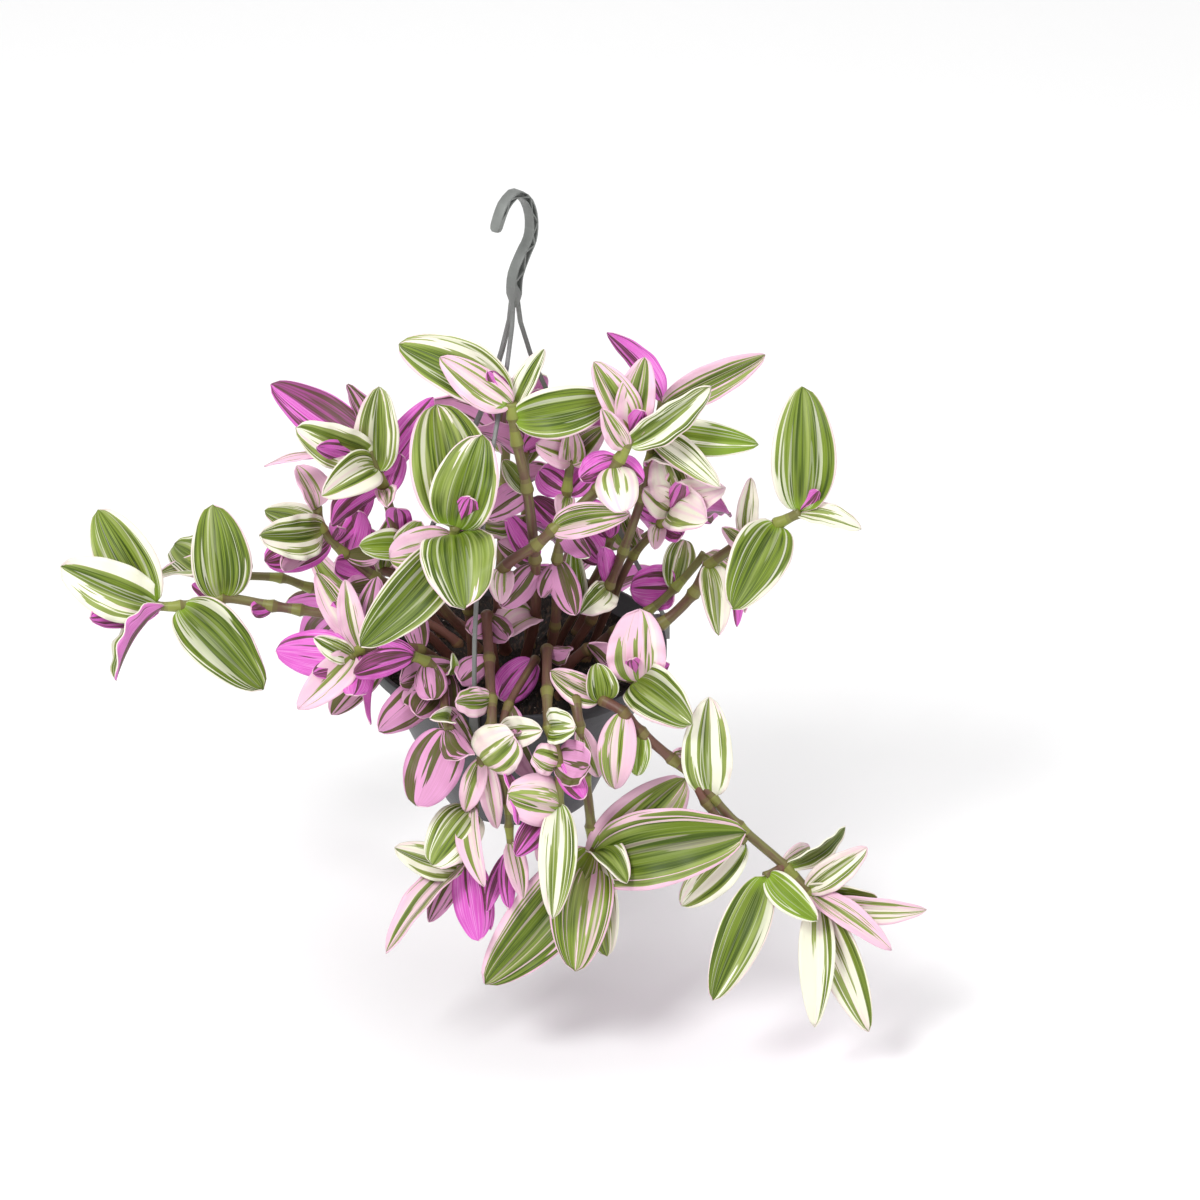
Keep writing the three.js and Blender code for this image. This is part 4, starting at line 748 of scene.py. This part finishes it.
          (2, -20, 106, 78, 9, 180, 1, 3, "magenta"), (1, 22, 60, 34, 18, 180, 4, 3, "magenta"),
          (1, -34, 34, 46, 20, 0, 5, 4, "pink"), (0, -36, 10, 46, 20, 180, 4, 3, "pink")]),
    ]),
}


def blade_width(share, width, length):
    """A slim blade runs to a point and a broad one is nearly round."""
    fullness = BLADE_FULLNESS - ROUND_FULLNESS * min(1.0, width / length)
    return width * max(BLADE_FOOT, math.sin(math.pi * share ** BLADE_BELLY) ** fullness)


def add_blade(form, base, tip, toward, width, turn, rise, lift, look):
    """One blade as a bent grid, upper face out, from its stem to its tip. Sizes here are in metres."""
    look_layer = form.verts.layers.float_color["look"]
    magenta_layer = form.verts.layers.float["magenta"]
    along = tip - base
    run = along.normalized()
    left = Matrix.Rotation(math.radians(turn), 3, run) @ toward.cross(run).normalized()
    face = run.cross(left)
    chance = noise.cell(tip * CHANCE_SCALE) * 0.5 + 0.5
    wave = (0.25 + 0.5 * chance) * BLADE_WAVE * width
    bend = (chance - 0.5) * BLADE_BEND * along.length
    curl = (LEAST_CURL + MORE_CURL * (chance * 7 % 1)) * along.length
    white, pink, magenta = LOOKS[look]
    grid = bmesh.ops.create_grid(form, x_segments=BLADE_COLUMNS, y_segments=BLADE_ROWS, size=1, calc_uvs=True)
    for point in grid["verts"]:
        across = -point.co.x
        share = (point.co.y + 1) / 2
        reach = blade_width(share, width, along.length) / 2 * across
        swell = math.sin(math.pi * share ** BLADE_BELLY)
        height = rise * swell + lift * (2 * abs(reach) / width) ** LIFT_POWER
        height += wave * across ** 2 * math.sin(share * (15 + 8 * chance) + 9 * chance + 2 * across)
        height -= GROOVE_DEPTH * width * math.exp(-(across / GROOVE_REACH) ** 2) * swell
        height -= curl * share ** 4
        point.co = base + along * share + left * (reach + bend * swell) + face * height
        point[look_layer] = (white, pink, chance, 1)
        point[magenta_layer] = magenta


def stem_frames(points):
    """Places at even steps on a smooth line through the joints, each with its joint and the share past it."""
    steps = []
    ends = [2 * points[0] - points[1], *points, 2 * points[-1] - points[-2]]
    for k in range(1, len(ends) - 2):
        before, start, finish, after = ends[k - 1:k + 3]
        count = max(2, round((finish - start).length / (STEM_STEP * MM)))
        for i in range(count):
            t = i / count
            place = 0.5 * (2 * start + (finish - before) * t
                           + (2 * before - 5 * start + 4 * finish - after) * t ** 2
                           + (3 * start - before - 3 * finish + after) * t ** 3)
            steps.append((place, k - 1, t))
    steps.append((points[-1], len(points) - 2, 1.0))
    return steps


def add_stem(form, points, radius):
    """A round stem, swollen at its joints and sheathed just above them, closed at both ends."""
    uv = form.loops.layers.uv["blade"]
    look_layer = form.verts.layers.float_color["look"]
    steps = stem_frames(points)
    chance = noise.cell(points[-1] * CHANCE_SCALE) * 0.5 + 0.5
    rings = []
    heading = None
    turn = None
    for i, (place, k, t) in enumerate(steps):
        ahead = steps[min(i + 1, len(steps) - 1)][0] - steps[max(i - 1, 0)][0]
        ahead.normalize()
        turn = ahead.to_track_quat("Z", "Y") if turn is None else heading.rotation_difference(ahead) @ turn
        heading = ahead
        length = (points[k + 1] - points[k]).length / MM
        above = t * length
        below = (1 - t) * length
        swell = JOINT_SWELL * math.exp(-(min(above, below) / JOINT_REACH) ** 2)
        sheath = SHEATH_SWELL * max(0.0, 1 - above / SHEATH_LENGTH) ** 0.5
        thick = radius * (1 + swell + sheath - STEM_THINNING * (k + t) / len(points))
        ring = bmesh.ops.create_circle(form, cap_ends=i in (0, len(steps) - 1), segments=STEM_SIDES,
                                       radius=thick, matrix=Matrix.LocRotScale(place, turn, None))["verts"]
        up_stem = (k + t) / (len(points) - 1)
        for point in ring:
            point[look_layer] = (up_stem, 1 - up_stem, chance, 1)
        edges = list({edge for point in ring for edge in point.link_edges})
        if rings:
            bridged = bmesh.ops.bridge_loops(form, edges=rings[-1] + edges)["faces"]
            for band in bridged:
                for loop in band.loops:
                    local = turn.inverted() @ (loop.vert.co - place)
                    loop[uv].uv = (math.atan2(local.y, local.x) / math.tau + 0.5, above / SKIN_LENGTH)
        rings.append(edges)


for shoot, (side, stems) in SHOOTS.items():
    leaf_form = bmesh.new()
    stem_form = bmesh.new()
    for form in (leaf_form, stem_form):
        form.loops.layers.uv.new("blade")
        form.verts.layers.float_color.new("look")
        form.verts.layers.float.new("magenta")
    toward = toward_viewer(side)
    for radius, root, joints, leaves in stems:
        seen = [placed(joint, side) for joint in joints]
        feet = []
        if root:
            turn = Matrix.Rotation(math.radians(side), 3, "Z")
            feet = [turn @ Vector((*root, z - HOOK_BEARING)) * MM for z in (STEM_FOOT, SOIL_LEVEL)]
        add_stem(stem_form, feet + seen, radius * MM)
        grown = [0] * len(joints)
        for joint, across, up, near, width, turn, rise, lift, look in leaves:
            base = seen[joint].copy()
            if joint:
                base += (seen[joint - 1] - base).normalized() * grown[joint] * LEAF_SPACING * MM
            grown[joint] += 1
            tip = placed((across, up, near), side)
            add_blade(leaf_form, base, tip, toward, width * MM, turn, rise * MM, lift * MM, look)
    bmesh.ops.recalc_face_normals(stem_form, faces=stem_form.faces)
    leaf_mesh = bpy.data.meshes.new(shoot + "_leaves")
    leaf_form.to_mesh(leaf_mesh)
    leaf_form.free()
    stem_mesh = bpy.data.meshes.new(shoot + "_stalks")
    stem_form.to_mesh(stem_mesh)
    stem_form.free()
    leaves_piece = piece_from(leaf_mesh, shoot + "_leaves", "plant", UPPER_FACE, LEAF_BACK)
    flesh = leaves_piece.modifiers.new("flesh", "SOLIDIFY")
    flesh.thickness = BLADE_THICKNESS * MM
    flesh.offset = 0
    flesh.material_offset = 1
    piece_from(stem_mesh, shoot + "_stalks", "plant", STEM_SKIN)
    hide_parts(shoot)


# ---- studio
# The plant hangs in front of a plain white paper sweep: a pale floor a little below the lowest leaf that
# bends up into the wall behind. Wide lights from both sides and from above leave only a soft shadow. The
# sizes of the sweep and the lights are written in metres.
FLOOR = -0.425
SWEEP_WIDTH = 18.0
SWEEP_FRONT = 9.0
SWEEP_DEPTH = 3.2
SWEEP_BEND = 1.2
SWEEP_HEIGHT = 4.0
BEND_STEPS = 16
PAPER = (0.96, 0.96, 0.96)
PAPER_PALE = (0.98, 0.98, 0.98)
AIR_LIGHT = 0.67
PICTURE_WIDTH = 600
SENSOR = 36
VIEW_END = 20

sweep_form = bmesh.new()
front = [sweep_form.verts.new((x, -SWEEP_FRONT, FLOOR)) for x in (-SWEEP_WIDTH / 2, SWEEP_WIDTH / 2)]
front_edge = sweep_form.edges.new(front)
floor = bmesh.ops.extrude_edge_only(sweep_form, edges=[front_edge])["geom"]
bmesh.ops.translate(sweep_form, vec=(0, SWEEP_FRONT + SWEEP_DEPTH, 0),
                    verts=[part for part in floor if isinstance(part, bmesh.types.BMVert)])
back_edge = [part for part in floor if isinstance(part, bmesh.types.BMEdge) and part.is_boundary
             and all(abs(point.co.y - SWEEP_DEPTH) < 1e-4 for point in part.verts)]
bend = bmesh.ops.spin(sweep_form, geom=back_edge, cent=(0, SWEEP_DEPTH, FLOOR + SWEEP_BEND), axis=(1, 0, 0),
                      steps=BEND_STEPS, angle=math.radians(90))["geom_last"]
bend_edge = [part for part in bend if isinstance(part, bmesh.types.BMEdge)]
wall = bmesh.ops.extrude_edge_only(sweep_form, edges=bend_edge)["geom"]
bmesh.ops.translate(sweep_form, vec=(0, 0, SWEEP_HEIGHT),
                    verts=[part for part in wall if isinstance(part, bmesh.types.BMVert)])
sweep_mesh = bpy.data.meshes.new("paper_sweep")
sweep_form.to_mesh(sweep_mesh)
sweep_form.free()
paper = Finish("white_paper", 0.85)
paper_grain = paper.grain(paper.place(), 60, 3).over(0.3, 0.7)
sweep_mesh.materials.append(paper.paint(paper.mix(paper_grain * 0.02, PAPER, PAPER_PALE)))
sweep_mesh.polygons.foreach_set("use_smooth", [True] * len(sweep_mesh.polygons))
sweep = bpy.data.objects.new("paper_sweep", sweep_mesh)
bpy.context.collection.objects.link(sweep)

world = bpy.data.worlds.new("studio_air")
world.use_nodes = True
background = world.node_tree.nodes["Background"]
background.inputs["Color"].default_value = (1, 1, 1, 1)
background.inputs["Strength"].default_value = AIR_LIGHT
bpy.context.scene.world = world
bpy.context.scene.view_settings.view_transform = "Standard"


def soft_light(name, place, size, power):
    """A square soft light that faces the plant."""
    data = bpy.data.lights.new(name, "AREA")
    data.size = size
    data.energy = power
    light = bpy.data.objects.new(name, data)
    light.location = place
    light.rotation_euler = (Vector(place) - placed((0, 20, 0))).to_track_quat("Z", "Y").to_euler()
    bpy.context.collection.objects.link(light)


soft_light("key_light", (-0.9, -1.3, 1.5), 0.7, 31)
soft_light("fill_light", (1.6, -1.2, 0.5), 1.4, 8)
soft_light("top_light", (0.1, 0.5, 1.9), 1.4, 12)

# The camera looks from the front and from above, and the plane through the rim's middle is 600 mm across.
looked_at = placed((VIEW_ACROSS, VIEW_UP, 0))
camera_data = bpy.data.cameras.new("camera")
camera_data.sensor_width = SENSOR
camera_data.lens = SENSOR * VIEW_DISTANCE / PICTURE_WIDTH
camera_data.clip_end = VIEW_END
camera = bpy.data.objects.new("camera", camera_data)
camera.location = looked_at + toward_viewer(0) * VIEW_DISTANCE * MM
camera.rotation_euler = toward_viewer(0).to_track_quat("Z", "Y").to_euler()
bpy.context.collection.objects.link(camera)
bpy.context.scene.camera = camera
